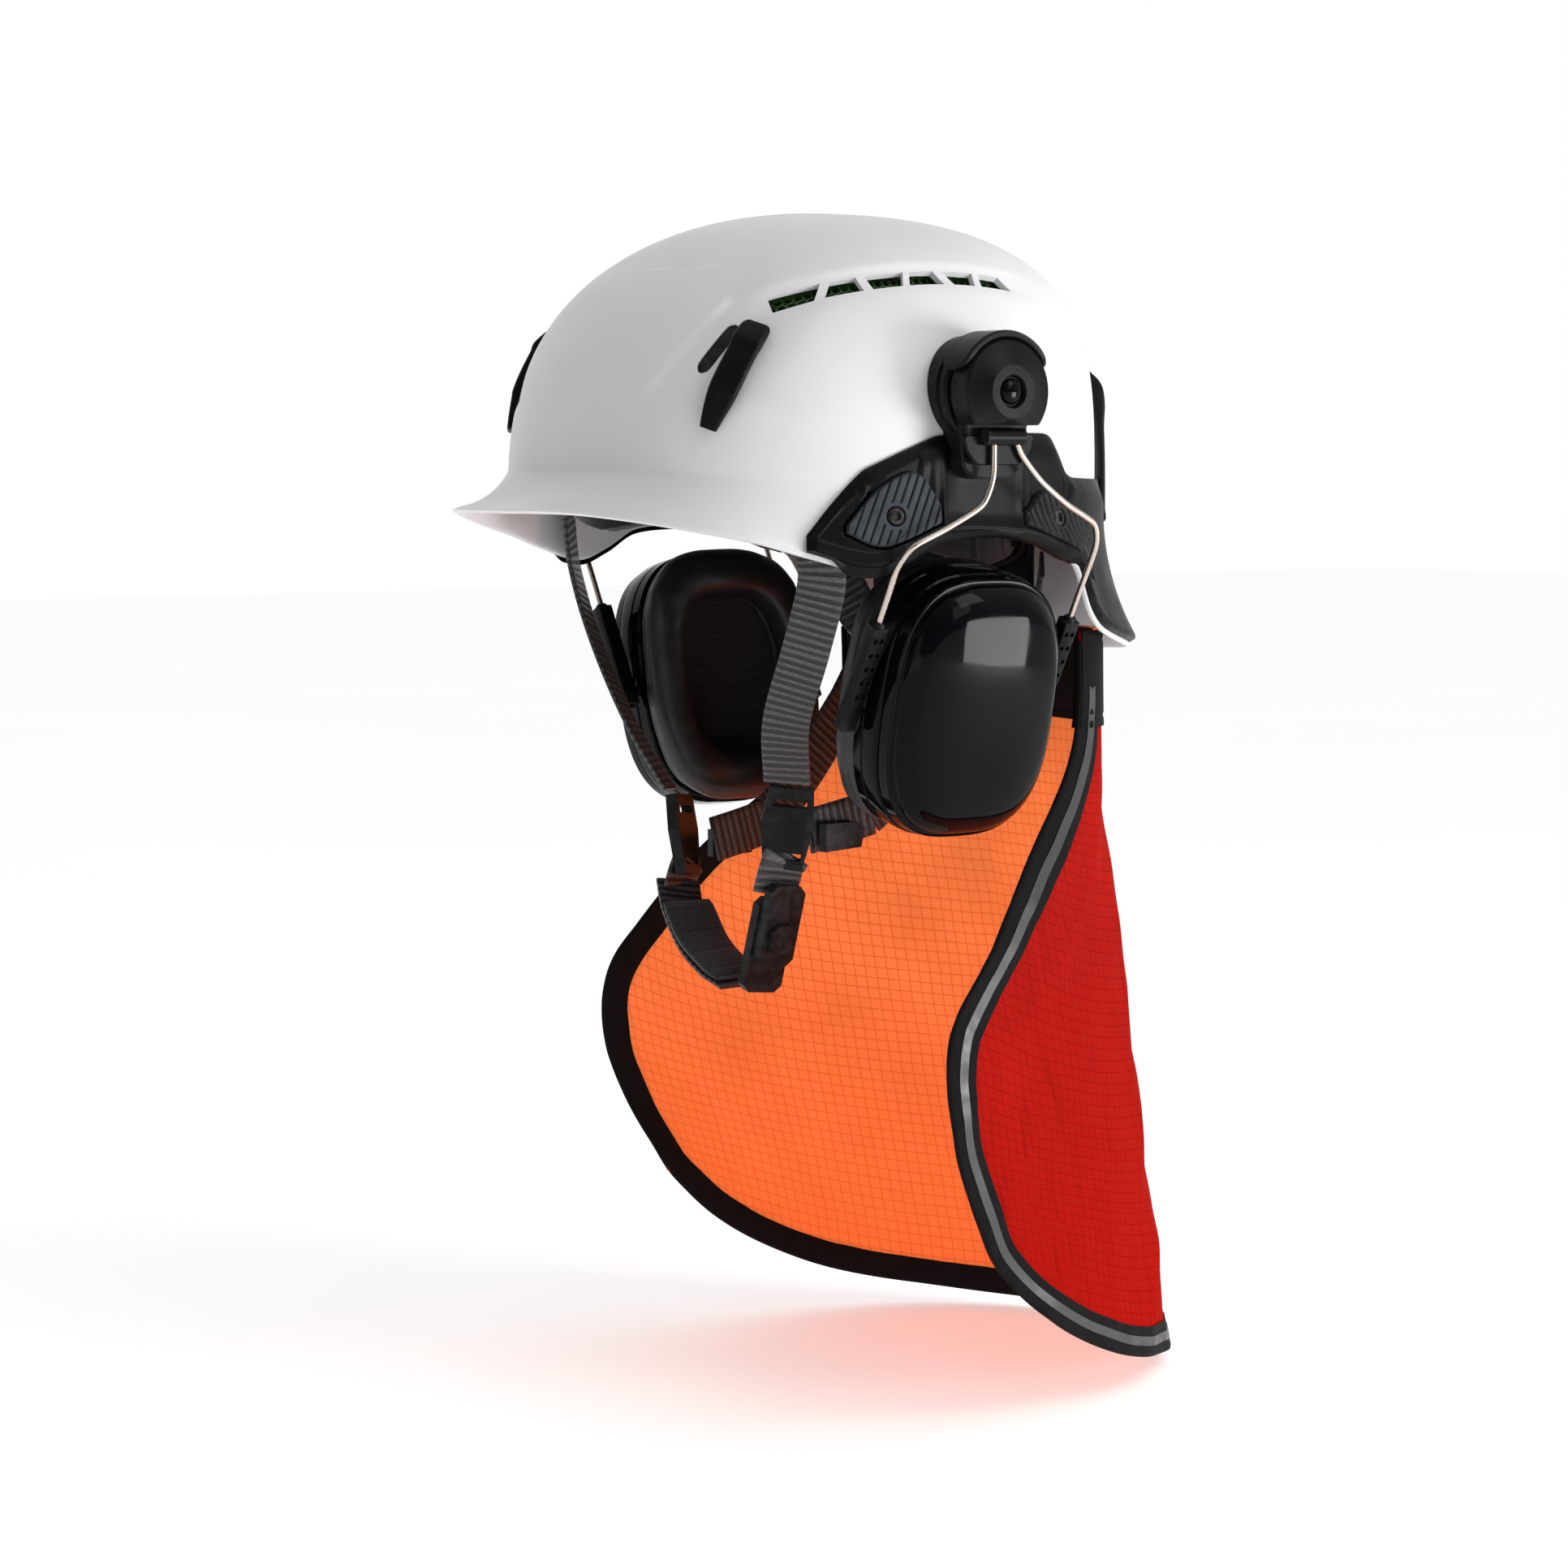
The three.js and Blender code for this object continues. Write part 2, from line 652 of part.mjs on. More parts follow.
function cupRing(outwards, scale, inset = 0) {
  return Array.from({ length: cupSides }, (_, i) => {
    const angle = (2 * Math.PI * i) / cupSides;
    const squareness = 2 / 2.9;
    const across = Math.sign(Math.cos(angle)) * Math.abs(Math.cos(angle)) ** squareness;
    const up = Math.sign(Math.sin(angle)) * Math.abs(Math.sin(angle)) ** squareness;
    return new THREE.Vector3(
      outwards,
      across * (muffHalfWidth * scale - inset),
      up * (muffHalfHeight * scale - inset),
    );
  });
}

function placeOnEar(geometry) {
  return geometry.rotateY(radians(muffTilt)).translate(...muffCentre.toArray());
}

const cupBack = -10;             // the cup's local depth positions, outwards positive
const cupFront = 6;
const cushionBack = -27;

function cupBase() {
  const dish = ringSolid([
    cupRing(2, 0.02), cupRing(2, 1, 6), cupRing(cupBack, 1, 6),
    cupRing(cupBack, 1), cupRing(cupFront, 1), cupRing(cupFront, 0.02),
  ]);
  const sockets = [-1, 1].map((end) => {
    const pivot = railPoint(pivotDistance, end);
    const edge = muffCentre.y + end * muffHalfWidth;
    return roundBar('y', 2.2 + gap, edge - end * 3, edge + end * 4, pivot, 10);
  });
  return cut(placeOnEar(dish), ...sockets);
}

function cupCover() {
  const outline = [[cupFront + gap, 1, 0], [14, 1, 1], [19, 1, 5], [23, 0.82, 0], [25.5, 0.5, 0], [26, 0.1, 0]];
  const outside = outline.map((ring) => cupRing(...ring));
  const inside = [[23.2, 0.1, 0], [22.7, 0.5, 0], [20.4, 0.8, 0], [cupFront + gap, 0.92, 0]];
  return placeOnEar(ringSolid([...inside.map((ring) => cupRing(...ring)), ...outside]));
}

function earCushion() {
  const front = cupBack - gap;
  return placeOnEar(ringSolid([
    cupRing(front, 0.97), cupRing(-18, 1), cupRing(-25, 0.94), cupRing(cushionBack, 0.8),
    cupRing(-25, 0.66), cupRing(-18, 0.62), cupRing(front, 0.64),
  ], true));
}

function cupFoam() {
  return placeOnEar(ringSolid([cupRing(1.6, 0.84, 3), cupRing(cupBack + 1, 0.84, 3)]));
}

for (const suffix of ['left', 'right']) {
  const muff = new THREE.Group();
  muff.scale.x = suffix === 'left' ? 1 : -1;
  helmet.add(muff);
  addPart(`hub_bracket_${suffix}`, hubBracket(), finishes.frame, muff);
  addPart(`hub_cap_${suffix}`, hubCap(), finishes.frame, muff);
  addPart(`hub_pin_${suffix}`, hubPin(), finishes.darkSteel, muff);
  addPart(`wire_arm_${suffix}`, wireArm(), finishes.steel, muff);
  addPart(`front_rail_${suffix}`, rail(-1), finishes.clip, muff);
  addPart(`rear_rail_${suffix}`, rail(1), finishes.clip, muff);
  addPart(`cup_base_${suffix}`, cupBase(), finishes.clip, muff);
  addPart(`cup_cover_${suffix}`, cupCover(), finishes.gloss, muff);
  addPart(`ear_cushion_${suffix}`, earCushion(), finishes.cushion, muff);
  addPart(`cup_foam_${suffix}`, cupFoam(), finishes.foam, muff);
}

// ---- Chin harness ----
// The right divider is set a little lower than the left one, as adjusted by its wearer.
const dividerDrop = { left: 0, right: -9 };
const dividerTilt = 12;

function harnessGroup(suffix) {
  const group = new THREE.Group();
  group.scale.x = suffix === 'left' ? 1 : -1;
  helmet.add(group);
  return group;
}

function dividerBody(z) {
  const outline = new THREE.Shape();
  outline.moveTo(-9, 17).lineTo(9, 17).lineTo(11, 2).lineTo(8, -17).lineTo(-8, -17).lineTo(-11, 2);
  outline.closePath();
  const slot = (y) => new THREE.Path([[-7, y], [7, y], [7, y + 3], [-7, y + 3]].map((p) => new THREE.Vector2(...p)));
  outline.holes.push(slot(9), slot(-13));
  const plate = new THREE.ExtrudeGeometry(outline, { depth: 5, bevelEnabled: false });
  return plate.applyMatrix4(toX).rotateZ(radians(-35)).rotateY(radians(dividerTilt)).translate(36, -33, z);
}

const leverPivot = new THREE.Vector3(39, -20, -132);

function camLever(drop) {
  const outline = new THREE.Shape();
  outline.moveTo(1, -7).lineTo(20, -6).lineTo(22, 2).lineTo(18, 4.5).lineTo(1, 4.5);
  outline.closePath();
  const plate = new THREE.ExtrudeGeometry(outline, { depth: 4.5, bevelEnabled: false });
  return plate.applyMatrix4(toX).rotateZ(radians(5)).translate(leverPivot.x, leverPivot.y, leverPivot.z + drop);
}

function frontStrap(drop) {
  const across = new THREE.Vector3(0.72, 0.7, 0);
  return band([
    [new THREE.Vector3(91, -58, -4), across],
    [new THREE.Vector3(91, -55, -26), across],
    [new THREE.Vector3(78, -53, -53 + drop * 0.3), across],
    [new THREE.Vector3(57.5, -48.5, -84 + drop * 0.7), across],
    [new THREE.Vector3(43, -38, -109.5 + drop), across],
  ], strapWidth, strapThickness);
}

function rearStrap(drop) {
  const across = new THREE.Vector3(0.1, 0.1, 1);
  return band([
    [new THREE.Vector3(37.5, 7, -125 + drop), across],
    [new THREE.Vector3(39, 24, -112 + drop * 0.8), across],
    [new THREE.Vector3(44, 53, -82 + drop * 0.4), across],
    [new THREE.Vector3(58, 73, -54), across],
    [new THREE.Vector3(76, 67, -22), across],
  ], strapWidth, strapThickness);
}

for (const suffix of ['left', 'right']) {
  const group = harnessGroup(suffix);
  const drop = dividerDrop[suffix];
  addPart(`front_strap_${suffix}`, frontStrap(drop), finishes.webbing, group);
  addPart(`rear_strap_${suffix}`, rearStrap(drop), finishes.webbing, group);
  addPart(`strap_divider_${suffix}`, dividerBody(-128 + drop), finishes.clip, group);
  addPart(`cam_lever_${suffix}`, camLever(drop), finishes.clip, group);
}

// The chin strap hangs in a V from the right divider to the buckle near the left one.
const forwards = new THREE.Vector3(0.25, 1, -0.1);
const chinRoute = [
  [new THREE.Vector3(-38, -37.5, -157), forwards],
  [new THREE.Vector3(-27, -42, -168), forwards],
  [new THREE.Vector3(-12, -44, -182), forwards],
  [new THREE.Vector3(3, -43.5, -191), forwards],
  [new THREE.Vector3(14, -42.5, -195), forwards],
];
const padRoute = chinRoute.slice(1).map(([centre, across]) => [
  centre.clone().add(new THREE.Vector3(2.5, 0, 4.1)),
  across,
]);
padRoute.at(-1)[0].add(new THREE.Vector3(-3, 0, 0));
addPart('chin_webbing', band(chinRoute, strapWidth, strapThickness), finishes.webbing);
addPart('chin_pad', band(padRoute, strapWidth + 4, 4), finishes.foam);

// The buckle halves lie face to face, tangent to the swing of the chin strap.
const buckleDown = new THREE.Vector3(-0.2, -0.09, -0.97).normalize();
const buckleAcross = new THREE.Vector3(0, 1, 0).addScaledVector(buckleDown, -buckleDown.y).normalize();
const buckleOut = new THREE.Vector3().crossVectors(buckleDown, buckleAcross);
const buckleMiddle = new THREE.Vector3(30, -35, -169);

// A plate with clipped corners, a distance down the buckle and out from its middle plane.
function bucklePlate(width, length, thickness, down, out) {
  const [w, l, corner] = [width / 2, length / 2, 3];
  const outline = new THREE.Shape();
  outline.moveTo(-w + corner, -l).lineTo(w - corner, -l).lineTo(w, -l + corner).lineTo(w, l - corner);
  outline.lineTo(w - corner, l).lineTo(-w + corner, l).lineTo(-w, l - corner).lineTo(-w, -l + corner);
  outline.closePath();
  const centre = buckleMiddle.clone().addScaledVector(buckleDown, down).addScaledVector(buckleOut, out);
  const axes = new THREE.Matrix4().makeBasis(buckleAcross, buckleOut.clone().cross(buckleAcross), buckleOut);
  const plate = new THREE.ExtrudeGeometry(outline, { depth: thickness, bevelEnabled: false });
  return plate.applyMatrix4(axes.setPosition(centre));
}

addPart('buckle_socket', bucklePlate(17, 34, 5, -1, gap), finishes.clip);
addPart('buckle_tongue', bucklePlate(19, 40, 4.5, 9, -4.5), finishes.clip);
addPart('release_tab', bucklePlate(12, 12, 2.5, 4, 5 + 2 * gap), finishes.clip);

// ---- Neck cape: one curved sheet with its top band ----
const capeTopZ = -50;
const capeBandBottomZ = -90;
const capeRearY = smoothLine([[-365, 172], [-176, 131], [-100, 120], [-50, 118]]);
const capeEdgeX = smoothLine([[-330, 116], [-300, 117], [-240, 125], [-200, 124], [-160, 114], [-120, 94], [-88, 83], [-50, 82]]);
const capeEdgeY = smoothLine([[-330, 14], [-300, 9], [-270, -6], [-240, -17], [-205, -17], [-180, 2], [-150, 27], [-112, 66], [-88, 80], [-50, 81]]);
const capeHemZ = smoothLine([[0, -364], [0.35, -361], [0.62, -351], [0.82, -333], [0.93, -316], [1, -298]]);

// A point of the cape: share 0 at the middle of the back, +-1 at the front edges.
function capePoint(share, z, outwards) {
  const reach = Math.abs(share);
  const side = Math.sign(share) || 1;
  const [edgeX, edgeY, rearY] = [capeEdgeX(z), capeEdgeY(z), capeRearY(z)];
  const plan = new THREE.CubicBezierCurve(
    new THREE.Vector2(0, rearY),
    new THREE.Vector2(edgeX * 0.62, rearY),
    new THREE.Vector2(edgeX * 0.98, lerp(rearY, edgeY, 0.42)),
    new THREE.Vector2(edgeX, edgeY),
  );
  const point = plan.getPoint(reach);
  const tangent = plan.getTangent(reach);
  return new THREE.Vector3(
    side * (point.x - tangent.y * outwards),
    point.y + tangent.x * outwards,
    z,
  );
}

function capeSlab(columns, rows, top, bottom, outer, inner) {
  const grid = (outwards) => range(-1, 1, columns).map((share) => (
    range(top, bottom(Math.abs(share)), rows).map((z) => capePoint(share, z, outwards))
  ));
  return slabSolid(grid(outer), grid(inner));
}

addPart('neck_cape', capeSlab(22, 9, capeTopZ, capeHemZ, capeThickness, 0), finishes.cape);
addPart('cape_top_band', capeSlab(18, 2, capeTopZ, () => capeBandBottomZ, -1.4, -3.2), finishes.webbing);

export default helmet;
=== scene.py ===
"""The looks of the forestry helmet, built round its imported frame.

Lengths are millimetres until a mesh is made; +Z is up and the wearer looks along -Y.
"""

import bmesh
import bpy
import numpy as np
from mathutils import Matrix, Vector


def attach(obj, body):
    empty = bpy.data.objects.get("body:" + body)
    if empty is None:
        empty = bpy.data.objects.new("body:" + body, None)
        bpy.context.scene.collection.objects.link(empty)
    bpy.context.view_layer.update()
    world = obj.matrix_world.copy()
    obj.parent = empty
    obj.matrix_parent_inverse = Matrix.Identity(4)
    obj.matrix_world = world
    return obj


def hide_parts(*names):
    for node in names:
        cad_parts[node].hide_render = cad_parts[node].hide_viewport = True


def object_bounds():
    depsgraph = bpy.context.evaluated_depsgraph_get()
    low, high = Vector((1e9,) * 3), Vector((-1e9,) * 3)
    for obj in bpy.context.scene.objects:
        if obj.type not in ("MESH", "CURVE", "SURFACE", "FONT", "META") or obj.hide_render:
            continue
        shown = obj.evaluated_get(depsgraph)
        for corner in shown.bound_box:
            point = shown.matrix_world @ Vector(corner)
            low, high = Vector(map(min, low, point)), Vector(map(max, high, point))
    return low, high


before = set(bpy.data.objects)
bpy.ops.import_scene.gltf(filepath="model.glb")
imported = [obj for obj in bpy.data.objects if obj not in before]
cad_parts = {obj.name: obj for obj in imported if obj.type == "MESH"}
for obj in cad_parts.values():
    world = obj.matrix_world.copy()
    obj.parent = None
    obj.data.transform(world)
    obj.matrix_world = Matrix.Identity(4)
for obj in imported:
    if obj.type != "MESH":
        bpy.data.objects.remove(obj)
cad_low, cad_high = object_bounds()

MM = 0.001
SIDES = {"left": 1, "right": -1}


# ---- Camera ----
def add_camera():
    azimuth, elevation = np.radians([55, 5])
    back = Vector((
        np.sin(azimuth) * np.cos(elevation),
        -np.cos(azimuth) * np.cos(elevation),
        np.sin(elevation),
    ))
    data = bpy.data.cameras.new("camera")
    data.sensor_width = 36
    data.lens = 87.95
    camera = bpy.data.objects.new("camera", data)
    bpy.context.scene.collection.objects.link(camera)
    camera.location = Vector((0, -0.0093, -0.1146)) + back * 1.6
    camera.rotation_mode = "QUATERNION"
    camera.rotation_quaternion = back.to_track_quat("Z", "Y")
    bpy.context.scene.camera = camera


add_camera()


# ---- Procedural finishes ----
class Finish:
    """A material put together node by node round one Principled shader."""

    def __init__(self, name, colour, roughness, metallic=0.0):
        self.material = bpy.data.materials.new(name)
        self.material.use_nodes = True
        self.tree = self.material.node_tree
        self.shader = self.tree.nodes["Principled BSDF"]
        self.shader.inputs["Base Color"].default_value = (*colour, 1)
        self.shader.inputs["Roughness"].default_value = roughness
        self.shader.inputs["Metallic"].default_value = metallic
        self.colour = colour
        self.normal = None
        coordinates = self.tree.nodes.new("ShaderNodeTexCoord")
        self.place = coordinates.outputs["Object"]
        self.uv = coordinates.outputs["UV"]

    def node(self, kind, inputs=None, **settings):
        made = self.tree.nodes.new(kind)
        for key, value in settings.items():
            setattr(made, key, value)
        for key, value in (inputs or {}).items():
            if isinstance(value, bpy.types.NodeSocket):
                self.tree.links.new(value, made.inputs[key])
            else:
                made.inputs[key].default_value = value
        return made

    def stretched(self, scale, source=None):
        return self.node("ShaderNodeMapping", {"Vector": source or self.place, "Scale": scale}).outputs[0]

    def noise(self, scale, detail=3, source=None):
        inputs = {"Vector": source or self.place, "Scale": scale, "Detail": detail}
        return self.node("ShaderNodeTexNoise", inputs).outputs["Fac"]

    def cells(self, scale, feature="F1", source=None):
        inputs = {"Vector": source or self.place, "Scale": scale}
        return self.node("ShaderNodeTexVoronoi", inputs, feature=feature).outputs["Distance"]

    def waves(self, scale, direction, source=None):
        inputs = {"Vector": source or self.place, "Scale": scale}
        settings = {"wave_type": "BANDS", "bands_direction": direction}
        return self.node("ShaderNodeTexWave", inputs, **settings).outputs["Fac"]

    def maths(self, operation, *values):
        return self.node("ShaderNodeMath", dict(enumerate(values)), operation=operation).outputs[0]

    def spread(self, value, low, high, start=0.0, end=1.0):
        inputs = {0: value, 1: start, 2: end, 3: low, 4: high}
        return self.node("ShaderNodeMapRange", inputs).outputs[0]

    def ramp(self, value, stops):
        made = self.node("ShaderNodeValToRGB", {"Fac": value})
        elements = made.color_ramp.elements
        while len(elements) < len(stops):
            elements.new(0.5)
        for element, (position, colour) in zip(elements, stops):
            element.position = position
            element.color = (*colour, 1)
        return made.outputs["Color"]

    def mixed(self, factor, first, second):
        inputs = {"Factor": factor, 6: first, 7: second}
        return self.node("ShaderNodeMix", inputs, data_type="RGBA").outputs[2]

    def colour_from(self, source):
        self.tree.links.new(source, self.shader.inputs["Base Color"])

    def tint(self, value, stops):
        """Colours the piece by a ramp of factors on its own colour."""
        shades = [(at, tuple(min(c * factor, 1) for c in self.colour)) for at, factor in stops]
        self.colour_from(self.ramp(value, shades))

    def worn_edges(self, lighter):
        """Corners that hands and branches rub go lighter."""
        pointed = self.node("ShaderNodeNewGeometry").outputs["Pointiness"]
        rub = self.spread(pointed, 0.0, 1.0, 0.53, 0.62)
        grain = self.spread(self.noise(260), 0.35, 1.0, 0.4, 0.62)
        rub = self.maths("MULTIPLY", rub, grain)
        base = self.shader.inputs["Base Color"]
        before = base.links[0].from_socket if base.is_linked else (*self.colour, 1)
        self.colour_from(self.mixed(rub, before, (*lighter, 1)))

    def rough(self, value, low, high):
        self.tree.links.new(self.spread(value, low, high, 0.3, 0.7), self.shader.inputs["Roughness"])

    def bump(self, height, strength, depth):
        """Adds relief; depth is in millimetres."""
        inputs = {"Height": height, "Strength": strength, "Distance": depth * MM}
        if self.normal:
            inputs["Normal"] = self.normal
        self.normal = self.node("ShaderNodeBump", inputs).outputs[0]
        self.tree.links.new(self.normal, self.shader.inputs["Normal"])

    def set(self, **values):
        for name, value in values.items():
            self.shader.inputs[name.replace("_", " ")].default_value = value


def shell_plastic():
    made = Finish("shell_plastic", (0.70, 0.70, 0.715), 0.36)
    made.tint(made.noise(14, 4), [(0.3, 0.97), (0.7, 1.0)])
    made.rough(made.noise(40, 5), 0.31, 0.42)
    made.bump(made.noise(420, 2), 0.08, 0.12)
    made.bump(made.noise(2600, 2), 0.06, 0.05)
    made.set(Coat_Weight=0.12, Coat_Roughness=0.25)
    return made.material


def moulded_plastic(name, colour, roughness, grain=0.25, shine=0.06):
    """Black glass-filled nylon with the fine grain of its mould."""
    made = Finish(name, colour, roughness)
    made.tint(made.noise(90, 5), [(0.3, 0.8), (0.7, 1.25)])
    made.worn_edges(tuple(c * 3 + 0.012 for c in colour))
    made.rough(made.noise(60, 4), roughness - shine, roughness + shine)
    made.bump(made.cells(2300), grain, 0.05)
    made.bump(made.noise(500, 3), grain * 0.5, 0.06)
    made.set(Specular_IOR_Level=0.1)
    return made.material


def rubber_pad(name, colour):
    made = Finish(name, colour, 0.6)
    made.tint(made.noise(240, 5), [(0.3, 0.75), (0.7, 1.3)])
    made.worn_edges(tuple(c * 1.9 for c in colour))
    made.rough(made.noise(120), 0.5, 0.7)
    made.bump(made.noise(3000, 3), 0.35, 0.06)
    made.set(Specular_IOR_Level=0.25)
    return made.material


def bead_foam(name, colour):
    """Moulded foam: pressed beads about 3 mm across with fine seams between them."""
    made = Finish(name, colour, 0.85)
    seams = made.cells(330, "DISTANCE_TO_EDGE")
    made.tint(seams, [(0.0, 0.55), (0.12, 1.0), (1.0, 1.15)])
    made.bump(made.spread(seams, 0.0, 1.0, 0.0, 0.12), 0.6, 0.25)
    made.bump(made.noise(2200), 0.25, 0.08)
    return made.material


def green_tubes():
    made = Finish("core_green", (0.03, 0.075, 0.018), 0.36)
    made.tint(made.noise(160, 4), [(0.3, 0.6), (0.7, 1.5)])
    made.bump(made.noise(900), 0.2, 0.1)
    made.set(Specular_IOR_Level=0.6)
    return made.material


def knitted_fabric(name, colour):
    made = Finish(name, colour, 0.9)
    loops = made.maths("MULTIPLY", made.waves(330, "X"), made.waves(330, "Z"))
    made.tint(loops, [(0.0, 0.5), (0.5, 1.0), (1.0, 1.4)])
    made.bump(loops, 0.7, 0.3)
    made.bump(made.noise(1800, 4), 0.5, 0.15)
    made.set(Sheen_Weight=0.25, Sheen_Roughness=0.5)
    return made.material


def drawn_wire():
    made = Finish("spring_steel", (0.60, 0.52, 0.45), 0.3, 1.0)
    lines = made.noise(1.0, 4, made.stretched((2600, 2600, 90)))
    made.tint(lines, [(0.3, 0.78), (0.7, 1.1)])
    made.rough(lines, 0.22, 0.4)
    made.bump(lines, 0.12, 0.03)
    return made.material


def dark_steel():
    made = Finish("dark_steel", (0.055, 0.053, 0.052), 0.34, 1.0)
    made.tint(made.noise(700), [(0.3, 0.7), (0.7, 1.5)])
    made.rough(made.noise(500), 0.24, 0.46)
    made.bump(made.noise(1500), 0.2, 0.04)
    return made.material


def gloss_plastic():
    made = Finish("cup_gloss", (0.002, 0.0022, 0.003), 0.05)
    smudges = made.noise(55, 6)
    made.tint(made.noise(25, 2), [(0.3, 0.85), (0.7, 1.2)])
    made.tree.links.new(made.spread(smudges, 0.035, 0.11, 0.4, 0.75), made.shader.inputs["Roughness"])
    made.bump(made.noise(70, 2), 0.015, 0.2)
    made.set(Specular_IOR_Level=0.085)
    return made.material


def soft_vinyl():
    """The thin smooth skin of the ear cushions, with a fine leather grain."""
    made = Finish("cushion_vinyl", (0.011, 0.011, 0.012), 0.42)
    made.tint(made.noise(50, 4), [(0.3, 0.75), (0.7, 1.35)])
    made.rough(made.noise(150, 3), 0.34, 0.55)
    made.bump(made.cells(900), 0.22, 0.12)
    made.bump(made.noise(120, 4), 0.25, 0.3)
    return made.material


def woven_strap(name, colour, roughness):
    made = Finish(name, colour, roughness)
    thread = made.noise(1.0, 3, made.stretched((700, 700, 2600)))
    made.tint(thread, [(0.3, 0.5), (0.55, 1.0), (0.75, 1.9)])
    made.rough(thread, roughness - 0.1, roughness + 0.15)
    made.bump(made.maths("MULTIPLY", made.waves(420, "DIAGONAL"), thread), 0.5, 0.16)
    made.set(Sheen_Weight=0.12, Sheen_Roughness=0.4)
    return made.material


RIPSTOP_SQUARE, RIPSTOP_THREAD = 5, 0.7


def ripstop(name, colour, through, share, painted_glow):
    """Light nylon with a grid of thicker threads every 5 mm; UVs are metres on the flat cloth.

    A share of the light passes through it, and its colour is also given off as emission: a painted glow.
    """
    made = Finish(name, colour, 0.62)
    parts = made.node("ShaderNodeSeparateXYZ", {"Vector": made.uv})
    threads = []
    for axis in ("X", "Y"):
        place = made.maths("PINGPONG", parts.outputs[axis], RIPSTOP_SQUARE * MM / 2)
        threads.append(made.spread(place, 1.0, 0.0, 0.0, RIPSTOP_THREAD * MM / 2))
    grid = made.maths("MAXIMUM", *threads)
    weave = made.noise(1.0, 2, made.stretched((2600, 2600, 2600), made.uv))
    # Fold noise, with the weave's own texture, darkens the cloth towards the shadowed colour: painted shade
    # of wrinkles.
    fold_shade_noise = made.noise(16, 4)
    shade = made.maths("ADD", made.maths("MULTIPLY", fold_shade_noise, 0.7), made.maths("MULTIPLY", weave, 0.3))
    shadowed = tuple(c * 0.74 for c in colour)
    cloth = made.ramp(shade, [(0.35, shadowed), (0.62, colour)])
    # Lower down, the cloth mixes to a redder, darker colour: painted shade towards the hem.
    redder = tuple(c * kept for c, kept in zip(colour, (0.96, 0.62, 0.5)))
    low = made.spread(parts.outputs["Y"], 0.0, 0.85, 0.1, 0.31)
    thread = tuple(c * 0.6 for c in redder)
    cloth = made.mixed(grid, made.mixed(low, cloth, (*redder, 1)), (*thread, 1))
    made.colour_from(cloth)
    # The cloth's colour is given off as emission: a painted glow.
    made.tree.links.new(cloth, made.shader.inputs["Emission Color"])
    made.rough(weave, 0.52, 0.72)
    made.bump(grid, 0.5, 0.12)
    made.bump(weave, 0.35, 0.08)
    made.bump(made.noise(70, 3), 0.3, 0.6)
    creased = made.noise(1.0, 3, made.stretched((26, 12, 26), made.uv))
    made.bump(made.maths("ABSOLUTE", made.maths("SUBTRACT", creased, 0.5)), 0.8, 14.0)
    made.set(Specular_IOR_Level=0.1, IOR=1.05, Emission_Strength=painted_glow)
    glow = made.node("ShaderNodeBsdfTranslucent", {"Color": (*through, 1), "Normal": made.normal})
    mix = made.node("ShaderNodeMixShader", {0: share, 1: made.shader.outputs[0], 2: glow.outputs[0]})
    made.tree.links.new(mix.outputs[0], made.tree.nodes["Material Output"].inputs["Surface"])
    return made.material


def edge_tape():
    made = Finish("edge_tape", (0.006, 0.0056, 0.006), 0.75)
    twill = made.maths("MULTIPLY", made.waves(900, "X", made.uv), made.waves(900, "Y", made.uv))
    made.tint(made.maths("ADD", twill, made.noise(140)), [(0.3, 0.7), (1.1, 1.6)])
    made.bump(twill, 0.6, 0.15)
    made.bump(made.noise(60, 4), 0.4, 0.5)
    made.set(Specular_IOR_Level=0.07, Sheen_Weight=0.02, Sheen_Roughness=0.4)
    return made.material


def reflective_tape():
    """Grey tape of tiny glass beads."""
    made = Finish("reflective_tape", (0.042, 0.040, 0.042), 0.5, 0.15)
    beads = made.cells(3200)
    made.tint(beads, [(0.0, 1.3), (0.6, 0.75)])
    made.rough(made.noise(160), 0.32, 0.55)
    made.bump(beads, 0.3, 0.05)
    made.bump(made.noise(120, 3), 0.3, 0.3)
    return made.material


finishes = {
    "shell": shell_plastic(),
    "frame": moulded_plastic("frame_nylon", (0.0022, 0.0022, 0.0026), 0.4),
    "hub": moulded_plastic("hub_nylon", (0.0035, 0.0034, 0.0038), 0.36, 0.35),
    "clip": moulded_plastic("clip_nylon", (0.004, 0.004, 0.0045), 0.36, 0.15),
    "pad_grey": rubber_pad("pad_grey", (0.026, 0.033, 0.040)),
    "pad_dark": rubber_pad("pad_dark", (0.0065, 0.0068, 0.0075)),
    "foam": bead_foam("liner_foam", (0.022, 0.022, 0.024)),
    "core": green_tubes(),
    "comfort": knitted_fabric("comfort_fabric", (0.016, 0.016, 0.018)),
    "cup_foam": knitted_fabric("cup_foam_cloth", (0.010, 0.010, 0.011)),
    "wire": drawn_wire(),
    "dark_steel": dark_steel(),
    "gloss": gloss_plastic(),
    "button": gloss_plastic(),
    "cushion": soft_vinyl(),
    "webbing": woven_strap("webbing", (0.009, 0.009, 0.010), 0.5),
    # A lighter, shinier copy of the webbing for the rib crests: painted highlight on the crests.
    "webbing_lit_rib": woven_strap("webbing_lit_rib", (0.065, 0.062, 0.063), 0.36),
    # The cape's two faces are copies of one cloth: the inside is a lit copy, bright, glowing and letting
    # much light through, and the outside is a shaded copy, darker and letting little through. This is
    # painted light and shade.
    "cape_lit_in": ripstop("cape_inside", (1.0, 0.30, 0.085), (1.0, 0.36, 0.12), 0.6, 1.4),
    "cape_shaded_out": ripstop("cape_outside", (0.30, 0.011, 0.0085), (0.8, 0.04, 0.012), 0.16, 0.01),
    "tape": edge_tape(),
    "reflective": reflective_tape(),
}


# ---- General geometry ----
def smoothstep(x):
    x = np.clip(x, 0, 1)
    return x * x * (3 - 2 * x)


